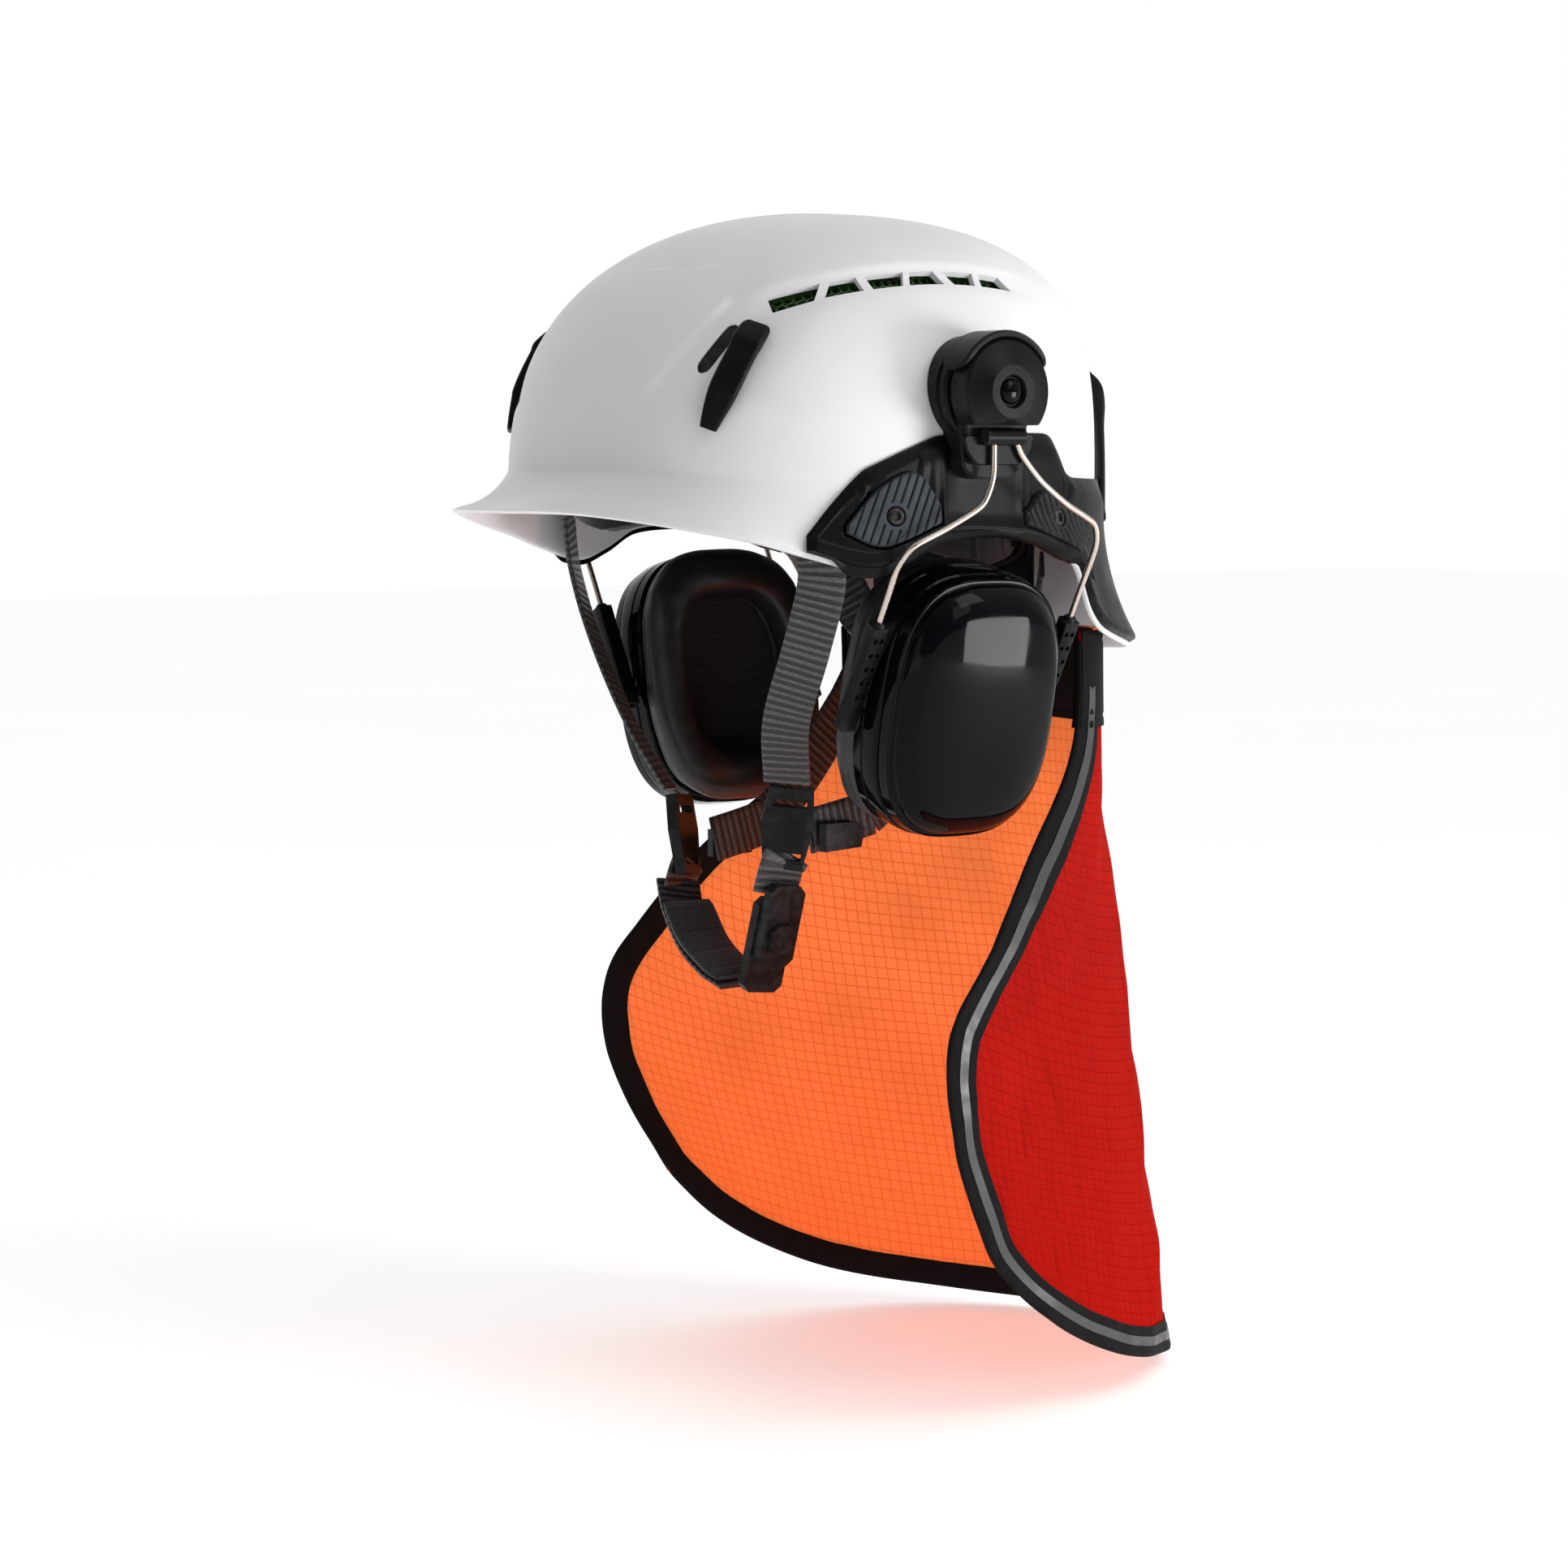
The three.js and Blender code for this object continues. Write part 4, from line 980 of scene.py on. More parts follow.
def build_frame():
    columns = 440
    headings = np.linspace(FRAME_FRONT, 360 - FRAME_FRONT, columns)
    turn = turn_of(headings)
    top_course = course_at(headings, frame_top_height(turn))
    near_top, near_bottom = [0, 0.006, 0.016, 0.03, 0.05], [0.985, 0.995, 1.0]
    steps = np.concatenate([near_top, np.linspace(0.075, 0.97, 62), near_bottom])
    course = top_course[:, None] + (1.985 - top_course)[:, None] * steps
    wide = np.broadcast_to(headings[:, None], course.shape)
    heights = profile(wide, course)[1]
    top = heights[:, :1]
    bottom = heights[:, -1:]
    out = frame_relief(turn[:, None], heights, top, bottom)
    out -= 0.8 * smoothstep((1.2 - (heights - bottom)) / 1.2)
    from_end = np.minimum(np.arange(columns), np.arange(columns)[::-1])
    ends = smoothstep(from_end / 3)[:, None]
    out = 0.95 + (np.maximum(out, 1.0) - 0.95) * (0.35 + 0.65 * ends)
    outside, inside = shell_point(wide, course, -out), shell_point(wide, course, -0.5)

    # Over the ears the frame turns in under the shell's edge.
    over_ear = smoothstep((turn - 60) / 3) * smoothstep((123 - turn) / 3)
    def turned_in(surface, places):
        held = surface[:, -1]
        added = [surface]
        for depth, drop in places:
            wrapped = shell_point(headings, 2.0, depth) - np.array([0, 0, drop])
            added.append((held + (wrapped - held) * over_ear[:, None])[:, None])
        return np.concatenate(added, axis=1)

    outside = turned_in(outside, [(-1.6, 0.7), (0.0, 1.2), (2.0, 1.2), (3.0, 0.5)])
    inside = turned_in(inside, [(-0.5, 0.3), (0.0, 0.3), (2.0, 0.3), (2.9, 0.3)])
    body = slab(outside, inside)
    add("frame_band", body, "frame", "helmet", "frame", "lower_frame", sharp=50)


def build_pad(name, pad, suffix, side):
    """A rubber pad with slanted grooves, dished round its screw."""
    turns = np.linspace(pad["from"], pad["to"], 150)
    top, bottom = pad["top"](turns), pad["bottom"](turns)
    share = np.linspace(0, 1, 100)
    height = top[:, None] + (bottom - top)[:, None] * share
    wide = np.broadcast_to(turns[:, None], height.shape)
    course = course_at(wide, height)
    screw_turn, screw_height = pad["screw"]
    across = (wide - screw_turn) * MM_PER_DEGREE
    up = height - screw_height
    phase = ((across + pad["lean"] * up) / pad["pitch"] + 0.5) % 1
    groove = smoothstep((pad["groove"] / 2 - np.abs(phase - 0.5)) * pad["pitch"] / 0.35)
    near = np.hypot(across, up)
    groove = groove * smoothstep((near - 5.4) / 0.5)
    edge = pad_edge_distance(pad, wide, height)
    rim = smoothstep((0.8 - edge) / 0.8)
    dish = smoothstep((4.1 - near) / 0.4)
    depth = -5.2 + 0.95 * groove + 0.9 * rim + 2.0 * dish
    body = slab(shell_point(side * wide, course, depth), shell_point(side * wide, course, -2.2))
    slot = pad["finish"]
    add(f"{name}_rubber_{suffix}", body, slot, "helmet", slot, f"{name}_pad_{suffix}", sharp=60)

    screw_course = course_at(screw_turn, screw_height)
    centre = shell_point(side * screw_turn, screw_course, 0)
    out = normalised(shell_point(side * screw_turn, screw_course, -1) - centre)
    outline = [(3.0, 0.4), (3.0, 3.6), (4.6, 3.6), (5.1, 3.1), (5.2, 1.9), (4.1, 1.6), (4.1, 0.3)]
    screw = mesh_object(f"{name}_screw_{suffix}", turned(outline, centre, out, 36), "dark_steel", 30)
    hexagon = turned([(4.1, 1.75), (7, 1.75)], centre, out, 6)
    cut(screw, hexagon, 30)
    place(screw, "helmet", "dark_steel", f"{name}_pad_screw_{suffix}")


build_frame()
for suffix, side in SIDES.items():
    for pad_name, pad_shape in PADS.items():
        build_pad(pad_name, pad_shape, suffix, side)


# ---- Headlamp clips ----
def lamp_clip(name, clip, suffix, side):
    """A bar held at the top, with a cap, a flat body and a tapered tip."""
    steps = 60
    t = np.linspace(0, 1, steps)
    depths = -clip["top_gap"], -clip["tip_gap"]
    points, out, across = shell_bar_path(clip["top"], clip["tip"], steps, side, *depths)
    half = clip["half_width"](t)
    thick = clip["thickness"](t)
    bow = clip["bow"](t)
    chamfer = clip["chamfer"]
    bottom, shoulder, top = bow, bow + thick - chamfer * 0.8, bow + thick
    corners = [
        (-half, bottom), (half, bottom), (half, shoulder),
        (half - chamfer, top), (chamfer - half, top), (-half, shoulder),
    ]
    rings = []
    for reach, lift in corners:
        rings.append(points + reach[:, None] * across + lift[:, None] * out)
    piece = mesh_object(f"{name}_clip_{suffix}", ring_solid(np.stack(rings, axis=1)), "clip", 20)
    rounded(piece, 0.25, 2, 25)
    place(piece, f"{name}_lamp_clip_{suffix}", "clip", f"{name}_lamp_clip_{suffix}")


FRONT_CLIP = {
    "top": (45.5, 0.7), "tip": (37.3, 0.93), "top_gap": 0.9, "tip_gap": 1.6, "chamfer": 1.0,
    "half_width": smooth_line([
        [0, 4.8], [0.04, 5.9], [0.2, 6.1], [0.3, 5.8], [0.72, 5.7], [0.95, 4.0], [1, 3.4],
    ]),
    "thickness": smooth_line([
        [0, 1.6], [0.2, 3.9], [0.24, 3.9], [0.3, 3.4], [0.7, 3.5], [0.74, 3.1], [1, 1.9],
    ]),
    "bow": lambda t: 0 * t,
}
REAR_CLIP = {
    "top": (159, 0.865), "tip": (160, 1.1), "top_gap": 1.6, "tip_gap": 7.6, "chamfer": 0.9,
    "half_width": smooth_line([[0, 4.6], [0.08, 5.5], [0.3, 5.5], [0.9, 4.6], [1, 3.8]]),
    "thickness": smooth_line([[0, 1.8], [0.12, 5.0], [0.25, 4.8], [0.4, 3.0], [0.9, 2.2], [1, 1.6]]),
    "bow": lambda t: 1.2 * np.sin(np.pi * t),
}
for suffix, side in SIDES.items():
    lamp_clip("front", FRONT_CLIP, suffix, side)
    lamp_clip("rear", REAR_CLIP, suffix, side)


# ---- Ear defenders ----
HUB_Y, HUB_Z = 6, 47
HUB_FLAT = 13
YOKE_X, YOKE_Z = 126.5, 29.5
MUFF_CENTRE = np.array([88.0, 13.0, -76.0])
MUFF_TILT = np.radians(12)
MUFF_HALF_WIDTH, MUFF_HALF_HEIGHT = 42, 54.5
RAIL_SPREAD, RAIL_LENGTH = 48, 47
RAIL_DOWN = np.array([-np.sin(np.radians(28.7)), 0, -np.cos(np.radians(28.7))])
RAIL_TOP = np.array([101.0, 0, -44.0])
PIVOT_DISTANCE = 40


def shell_x(y, z):
    """How far out the shell's side lies at a place beside the wearer's head."""
    heading = 90.0
    for _ in range(20):
        course = course_at(heading, z)
        point = shell_point(heading, course, 0)
        heading += (y - point[1]) / MM_PER_DEGREE
    return point[0]


def hub_disc():
    """The bracket's round base, fitted to the shell behind it."""
    angles = np.arange(72) * 2 * np.pi / 72
    across, up = np.cos(angles), np.sin(angles)
    wall = np.array([shell_x(HUB_Y + 22 * a, HUB_Z + 22 * u) for a, u in zip(across, up)]) + 0.4
    rings = []
    for radius, place_x in [
        (12, None), (22.2, None), (22.2, 112.5), (21.3, 113.1), (21.3, 114.4),
        (22.2, 115.0), (22.2, 117.6), (21.2, 118.6), (12, 118.8),
    ]:
        x = wall if place_x is None else np.maximum(wall + 0.3, place_x)
        rings.append(np.stack([x, HUB_Y + radius * across, HUB_Z + radius * up], axis=1))
    return ring_solid(rings)


def hub_hood():
    """The raised rim over the cap."""
    angles = np.radians(np.linspace(22, 158, 40))
    taper = np.sqrt(np.clip(1 - np.linspace(-1, 1, 40) ** 10, 0.05, 1))
    section = [
        (113, 21.3), (113, 23.2), (113.6, 23.9), (129.2, 23.9),
        (130.2, 23.0), (130.2, 21.6), (129.6, 21.1),
    ]
    centre_x, centre_r = 121.5, 22.3
    rings = []
    for angle, share in zip(angles, taper):
        ring = []
        for x, radius in section:
            x, radius = centre_x + (x - centre_x) * share, centre_r + (radius - centre_r) * share
            ring.append((x, HUB_Y + radius * np.cos(angle), HUB_Z + radius * np.sin(angle)))
        rings.append(ring)
    return ring_solid(rings)


def prism(outline, start_x, end_x, bevel):
    """An outline in the side view, drawn out between two X positions with bevelled rims."""
    outline = np.array(outline, float)
    middle = outline.mean(0)
    reach = np.linalg.norm(outline - middle, axis=1, keepdims=True)
    inset = middle + (outline - middle) * (1 - bevel / reach)
    rings = []
    stations = [
        (start_x, inset), (start_x + bevel, outline), (end_x - bevel, outline), (end_x, inset),
    ]
    for x, shape in stations:
        rings.append(np.column_stack([np.full(len(shape), x), shape]))
    return ring_solid(rings)


def rounded_outline(corners, radius, steps=6):
    """A closed outline with its corners rounded."""
    corners = np.array(corners, float)
    points = []
    for i, corner in enumerate(corners):
        before = normalised(corners[i - 1] - corner)
        after = normalised(corners[(i + 1) % len(corners)] - corner)
        start, end = corner + before * radius, corner + after * radius
        for t in np.linspace(0, 1, steps):
            points.append((1 - t) ** 2 * start + 2 * t * (1 - t) * corner + t**2 * end)
    return points


def hub_neck():
    """The block under the disc, with the cradle that the spring wire's bar lies in."""
    block = rounded_outline([(-11, 42), (-8.5, 17), (-3, 13), (15, 13), (20.5, 17), (23, 42)], 3)
    cradle = rounded_outline([(-10, 37), (-8, 25), (-3.5, 20.5), (15.5, 20.5), (20, 25), (22, 37)], 2.5)
    lip = rounded_outline([(-11.5, 30), (-10, 24), (-5, 18.5), (17, 18.5), (22, 24), (23.5, 30)], 2)
    return joined(
        prism(block, 108, 120.5, 1.0),
        prism(cradle, 119.8, 123.2, 0.8),
        prism(lip, 122.6, 124.6, 0.8),
    )


def hub_cap():
    """The turning cap: a coned face, cut off flat at the bottom."""
    outline = [
        (119.4, 4.6), (119.4, 19.6), (120.2, 20.5), (129.4, 20.5), (130.4, 19.7), (133.0, 10.9),
        (133.4, 10.3), (133.4, 6.6), (132.4, 5.9), (131.6, 5.6), (131.6, 4.6),
    ]
    sides = 96
    angles = np.arange(sides) * 2 * np.pi / sides
    rings = []
    for x, radius in outline:
        inset = 0.9 if x < 119.6 or x > 130 else 0.0
        y, z = radius * np.cos(angles), np.maximum(radius * np.sin(angles), inset - HUB_FLAT)
        rings.append(np.stack([np.full(sides, x), HUB_Y + y, HUB_Z + z], axis=1))
    return ring_solid(rings, closed=True)


def hub_button():
    outline = [
        (119.6, 3.6), (130.6, 3.6), (130.6, 5.2), (131.8, 5.2),
        (132.7, 4.6), (133.5, 3.3), (133.9, 1.6), (134.0, 0.2),
    ]
    return turned(outline, (0, HUB_Y, HUB_Z), (1, 0, 0), 48)


def rail_point(distance, end):
    point = RAIL_TOP + RAIL_DOWN * distance
    return np.array([point[0], MUFF_CENTRE[1] + end * RAIL_SPREAD, point[2]])


def wire_arm():
    front = [(YOKE_X, 2, YOKE_Z), (YOKE_X, 1.5, 14), (125.5, -3, 3), (122.5, -18, -6), (119.6, -32, -13)]
    front += [rail_point(d, -1) for d in (-26, -14, 10, 34)]
    rear = [(YOKE_X, 12, YOKE_Z), (YOKE_X, 16, 22), (126, 26, 12), (124.5, 40, 3), (121, 57, -5)]
    rear += [rail_point(d, 1) for d in (-34, -14, 10, 34)]
    return joined(tube(route(front, 1.2, 0.35), 1.2, 16), tube(route(rear, 1.2, 0.35), 1.2, 16))


def wire_sleeve():
    """The plastic sleeve that holds both ends of the wire in the hub's cradle."""
    bar = [(YOKE_X, HUB_Y - 9 + d, YOKE_Z) for d in (0, 6, 13, 19)]
    return tube(route(bar, 1.5), 3.4, 24)


def build_rail(name, end, suffix, side):
    """A hollow rail with a row of holes for the height stops."""
    across = np.array([0.0, 1.0, 0.0])
    out = np.cross(RAIL_DOWN, across)
    section = rounded_outline([(-3.5, -3.2), (3.5, -3.2), (3.5, 3.2), (-3.5, 3.2)], 0.9, 3)
    hollow = rounded_outline([(-1.7, -1.7), (1.7, -1.7), (1.7, 1.7), (-1.7, 1.7)], 0.5, 3)

    def bar(shape, start, finish):
        rings = []
        for distance in np.linspace(start, finish, 14):
            middle = rail_point(distance, end)
            rings.append([middle + across * sideways + out * outwards for sideways, outwards in shape])
        return ring_solid(rings)

    solid = mirrored(bar(section, 0, RAIL_LENGTH), side)
    piece = mesh_object(f"{name}_slide_{suffix}", solid, "clip", 30)
    cutters = [bar(hollow, -2, RAIL_LENGTH + 2)]
    for n in range(5):
        for off in (-1.55, 1.55):
            middle = rail_point(5.5 + 6.4 * n, end) + across * off
            cutters += [turned([(2.2, 1.0), (4, 1.0)], middle, way, 14) for way in (out, -out)]
    cut(piece, mirrored(joined(*cutters), side), 30)
    body = f"muff_rails_{suffix}"
    place(piece, body, "clip", f"{name}_rail_{suffix}")

    pivot = rail_point(PIVOT_DISTANCE, end)
    inside = MUFF_CENTRE[1] + end * (MUFF_HALF_WIDTH - 1)
    stub_path = np.linspace([pivot[0], pivot[1] - end * 2.4, pivot[2]], [pivot[0], inside, pivot[2]], 4)
    stub = mirrored(tube(stub_path, 2.2, 20), side)
    add(f"{name}_pivot_{suffix}", stub, "clip", body, "clip")

    collar_path = np.linspace(rail_point(-1.6, end), rail_point(1.2, end), 4)
    collar = mirrored(tube(collar_path, [2.0, 2.7, 2.9, 2.9], 20), side)
    add(f"{name}_collar_{suffix}", collar, "clip", body, "clip")


def cup_ring(outwards, scale, inset=0.0, sides=112):
    """The cup's rounded outline, at a distance outwards, scaled and then taken in."""
    angles = np.arange(sides) * 2 * np.pi / sides
    bend = 2 / 2.9
    across = np.sign(np.cos(angles)) * np.abs(np.cos(angles)) ** bend
    up = np.sign(np.sin(angles)) * np.abs(np.sin(angles)) ** bend
    return np.stack([
        np.full(sides, float(outwards)),
        across * (MUFF_HALF_WIDTH * scale - inset),
        up * (MUFF_HALF_HEIGHT * scale - inset),
    ], axis=1)


def on_ear(solid, side):
    """Tilts a solid made round the cup's centre and moves it to the ear."""
    points, faces = solid
    x, y, z = np.asarray(points, float).T
    placed = np.stack([
        x * np.cos(MUFF_TILT) + z * np.sin(MUFF_TILT),
        y,
        -x * np.sin(MUFF_TILT) + z * np.cos(MUFF_TILT),
    ], axis=1) + MUFF_CENTRE
    return placed * np.array([side, 1, 1]), faces


def even_rings(rings, closed=False):
    """Rows of points at arc-like spacing between the given rings."""
    rings = np.array(rings)
    if closed:
        rings = np.concatenate([rings, rings[:1]])
    count = len(rings)
    at = np.arange(count, dtype=float)
    fine = np.linspace(0, count - 1, (count - 1) * 5 + 1)
    if closed:
        fine = fine[:-1]
    flat = rings.reshape(count, -1)
    lines = [smooth_line(np.column_stack([at, flat[:, k]])) for k in range(flat.shape[1])]
    return np.stack([line(fine) for line in lines], axis=1).reshape(len(fine), *rings.shape[1:])


def cup_dish():
    """The half of the cup that holds the cushion, with a groove round its rim."""
    places = [
        (2, 0.02, 0), (2, 1, 7), (-9.8, 1, 6.2), (-10, 1, 5.8), (-10, 1, 0.8), (-9.2, 1, 0.1),
        (-4.2, 1, 0), (-3.8, 1, 0.5), (-3.2, 1, 0.5), (-2.8, 1, 0), (4.2, 1, 0), (5.4, 1, 0.35),
        (6.0, 1, 1.1), (6.0, 1, 3.0), (5.2, 1, 3.4), (5.2, 0.02, 0),
    ]
    return ring_solid([cup_ring(*place_at) for place_at in places])


def cup_cover():
    """The outer cover: a short skirt, a crisp edge and the dome."""
    skirt = [
        (5.6, 0.02, 0), (5.6, 1, 3.2), (6.4, 1, 1.4), (7.2, 1, 0.9), (11.9, 1, 1.3),
        (12.5, 1, 1.7), (12.7, 1, 2.3), (12.7, 1, 2.8), (13.0, 1, 3.2),
    ]
    dome = [
        (13.4, 1, 3.4), (15.6, 1, 3.9), (17.8, 1, 5.6), (19.8, 0.94, 4.9), (21.6, 0.85, 3.4),
        (23.3, 0.7, 1.8), (24.8, 0.51, 0.6), (25.7, 0.31, 0), (26.0, 0.13, 0), (26.05, 0.02, 0),
    ]
    rings = [cup_ring(*place_at) for place_at in skirt]
    return ring_solid([*rings, *even_rings([cup_ring(*place_at) for place_at in dome])])


def cushion_ring():
    """The soft ring round the ear: full between its seams, lightly creased, with one seam line."""
    section = [
        (-10.4, 0.97), (-13.5, 1.0), (-18, 1.01), (-22, 0.985), (-25.4, 0.92), (-27, 0.81),
        (-26.4, 0.72), (-24, 0.665), (-19, 0.64), (-14, 0.635), (-10.4, 0.645),
    ]
    rings = even_rings([cup_ring(outwards, scale) for outwards, scale in section], closed=True)
    outward = normalised(rings - np.mean(rings, axis=0, keepdims=True))
    creases = ripples(rings * np.array([0.5, 1, 1]), 9, 7) * 0.22 + ripples(rings, 26, 8) * 0.35
    on_outside = np.abs(rings[..., 1:2]) + np.abs(rings[..., 2:]) > 30
    seam = 0.7 * bell((rings[..., :1] + 14.2) / 0.5) * on_outside
    rings = rings + outward * (np.minimum(creases, 0.35)[..., None] - seam - 0.3)
    return ring_solid(rings, closed=True)


def cup_lining():
    places = [
        (1.6, 0.02, 0), (1.6, 0.84, 3), (-8.0, 0.84, 3), (-9.0, 0.84, 5),
        (-9.2, 0.55, 0), (-8.4, 0.25, 0), (-8.2, 0.02, 0),
    ]
    return ring_solid([cup_ring(*place_at) for place_at in places])


def build_cup(suffix, side):
    pieces = [
        ("cup_shell", cup_dish(), "gloss", "cup_gloss", "cup_base", 28, None),
        ("cup_dome", cup_cover(), "gloss", "cup_gloss", "cup_cover", 28, None),
        ("ear_ring", cushion_ring(), "cushion", "cushion", "ear_cushion", 80, 0.8),
        ("cup_lining", cup_lining(), "cup_foam", "liner_foam", "cup_foam", 60, 0.5),
    ]
    for name, solid, finish, slot, node, sharp, fill in pieces:
        nodes = f"{node}_{suffix}"
        placed = on_ear(solid, side)
        piece = add(f"{name}_{suffix}", placed, finish, f"ear_cup_{suffix}", slot, nodes, sharp=sharp)


def build_hub(suffix, side):
    hub, arm = f"muff_hub_{suffix}", f"muff_arm_{suffix}"
    mount = joined(hub_disc(), hub_hood(), hub_neck())
    pieces = [
        ("hub_mount", mount, "hub", "helmet", "frame", [f"hub_bracket_{suffix}"], 30),
        ("hub_face", hub_cap(), "hub", hub, "frame", [f"hub_cap_{suffix}"], 25),
        ("hub_button", hub_button(), "button", "helmet", "dark_steel", [f"hub_pin_{suffix}"], 35),
        ("spring_wire", wire_arm(), "wire", arm, "wire", [f"wire_arm_{suffix}"], 60),
        ("wire_sleeve", wire_sleeve(), "hub", arm, "clip", [], 50),
    ]
    for name, solid, finish, body, slot, nodes, sharp in pieces:
        add(f"{name}_{suffix}", mirrored(solid, side), finish, body, slot, *nodes, sharp=sharp)


for suffix, side in SIDES.items():
    build_hub(suffix, side)
    build_rail("front", -1, suffix, side)
    build_rail("rear", 1, suffix, side)
    build_cup(suffix, side)


# ---- Chin harness ----
STRAP_WIDTH, STRAP_THICKNESS = 19, 1.8
DIVIDER_DROP = {"left": 0, "right": -9}
RIB_PITCH = 3.4


def webbing(stops, across):
    """A woven strap with raised cross-ribs, and which of its faces lie on their crests."""
    step = 0.45
    path = route(stops, step)
    travelled = np.arange(len(path)) * step
    rib = 0.34 * smoothstep(np.sin(travelled * 2 * np.pi / RIB_PITCH) * 0.9 + 0.5)
    sideways = np.array([-0.5, -0.47, -0.4, -0.2, 0, 0.2, 0.4, 0.47, 0.5]) * STRAP_WIDTH
    ribbed = np.array([0, 0.2, 1, 1, 1, 1, 1, 0.2, 0])
    edge = np.array([0.62, 0.9, 0.86, 0.86, 0.86, 0.86, 0.86, 0.9, 0.62]) * STRAP_THICKNESS / 2
    height = edge + rib[:, None] * ribbed
    top = np.stack([np.broadcast_to(sideways, height.shape), height], axis=-1)
    bottom = top[:, ::-1] * np.array([1, -1])
    section = np.concatenate([top, bottom], axis=1)
    directions = np.broadcast_to(np.array(across, float), path.shape)
    crests = np.repeat(rib[:-1] > 0.2, section.shape[1])
    return sweep(path, directions, section), crests


def add_webbing(name, stops, across, side, body, *nodes):
    solid, crests = webbing(stops, across)
    strap = add(name, mirrored(solid, side), "webbing", body, "webbing", *nodes, sharp=50)
    # Faces on the rib crests take the lighter copy of the webbing: painted highlight.
    strap.data.materials.append(finishes["webbing_lit_rib"])
    for polygon, crest in zip(strap.data.polygons, crests):
        polygon.material_index = int(crest)


def build_straps():
    """The front and rear straps of both sides, and the webbing at each divider."""
    for suffix, side in SIDES.items():
        d = DIVIDER_DROP[suffix]
        front = [
            (91, -58, -4), (91, -55, -26), (78, -53, -53 + d * 0.3),
            (57.5, -48.5, -84 + d * 0.7), (43, -38, -109.5 + d),
        ]
        rear = [
            (37.5, 7, -125 + d), (39, 24, -112 + d * 0.8), (44, 53, -82 + d * 0.4),
            (58, 73, -54), (76, 67, -22),
        ]
        for name, stops, across in [("front", front, (0.72, 0.7, 0)), ("rear", rear, (0.1, 0.1, 1))]:
            add_webbing(f"{name}_webbing_{suffix}", stops, across, side, "helmet", f"{name}_strap_{suffix}")

        # The short lengths that join the divider to the rear strap and to the buckle or chin strap.
        behind = [(37, 9, -124.5 + d), (35.6, -6, -128 + d), (34.6, -21, -131 + d)]
        add_webbing(f"divider_link_{suffix}", behind, (0.1, 0.1, 1), side, "helmet")
        lower_end = (31.5, -36, -155.5) if side == 1 else (37.5, -37, -160)
        below = [(36.5, -32.4, -139 + d), (36.2, -35.6, -144 + d), lower_end]
        add_webbing(f"divider_loop_{suffix}", below, (0.25, 1, -0.1), side, "helmet")


CHIN_ROUTE = [(-38, -37.5, -157), (-27, -42, -168), (-12, -44, -182), (3, -43.5, -191), (14, -42.5, -195)]
FORWARDS = (0.25, 1, -0.1)


def build_chin():
    add_webbing("chin_strap", CHIN_ROUTE, FORWARDS, 1, "chin_strap", "chin_webbing")
    stops = [np.array(p) + [2.5, 0, 4.1] for p in CHIN_ROUTE[1:]]
    stops[-1] = stops[-1] - [3, 0, 0]
    step = 0.8
    path = route(stops, step)
    ends = np.sqrt(np.clip(1 - np.linspace(-1, 1, len(path)) ** 6, 0.12, 1))
    stitches = 1 - 0.16 * bell((np.arange(len(path)) * step % 12 - 6) / 0.9)
    base = ellipse_section(23, 4, 28, 3.4)
    section = base[None] * np.stack([0.9 + 0.1 * ends, ends * stitches], axis=1)[:, None]
    solid = sweep(path, np.broadcast_to(FORWARDS, path.shape), section)
    pad = add("chin_cushion", solid, "comfort", "chin_strap", "comfort_pad", "chin_pad", sharp=70)


build_straps()
build_chin()


def refined(node, finish, bevel):
    """A CAD piece whose shape is right, with its edges rounded."""
    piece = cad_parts[node]
    piece.data.materials.clear()
    piece.data.materials.append(finishes[finish])
    modifier = piece.modifiers.new("rounding", "BEVEL")
    modifier.width = bevel * MM
    modifier.segments = 3
    modifier.limit_method = "ANGLE"
    modifier.angle_limit = np.radians(30)
    modifier.harden_normals = True


for suffix in SIDES:
    refined(f"strap_divider_{suffix}", "clip", 0.6)
    refined(f"cam_lever_{suffix}", "clip", 0.6)
for node in ("buckle_socket", "buckle_tongue", "release_tab"):
    refined(node, "clip", 0.7)


# ---- Neck cape ----
CAPE_TOP, CAPE_BAND_BOTTOM = -50, -90
CLOTH_INSIDE, CLOTH_OUTSIDE = 0.5, 1.5
TAPE_WIDTH = 12.5
cape_rear_y = smooth_line([[-365, 172], [-176, 131], [-100, 120], [-50, 118]])
cape_edge_x = smooth_line([
    [-330, 116], [-300, 117], [-240, 125], [-200, 124], [-160, 114], [-120, 94], [-88, 83], [-50, 82],
])
cape_edge_y = smooth_line([
    [-330, 14], [-300, 9], [-270, -6], [-240, -17], [-205, -17],
    [-180, 2], [-150, 27], [-112, 66], [-88, 80], [-50, 81],
])
cape_hem_z = smooth_line([[0, -364], [0.35, -361], [0.62, -351], [0.82, -333], [0.93, -316], [1, -298]])


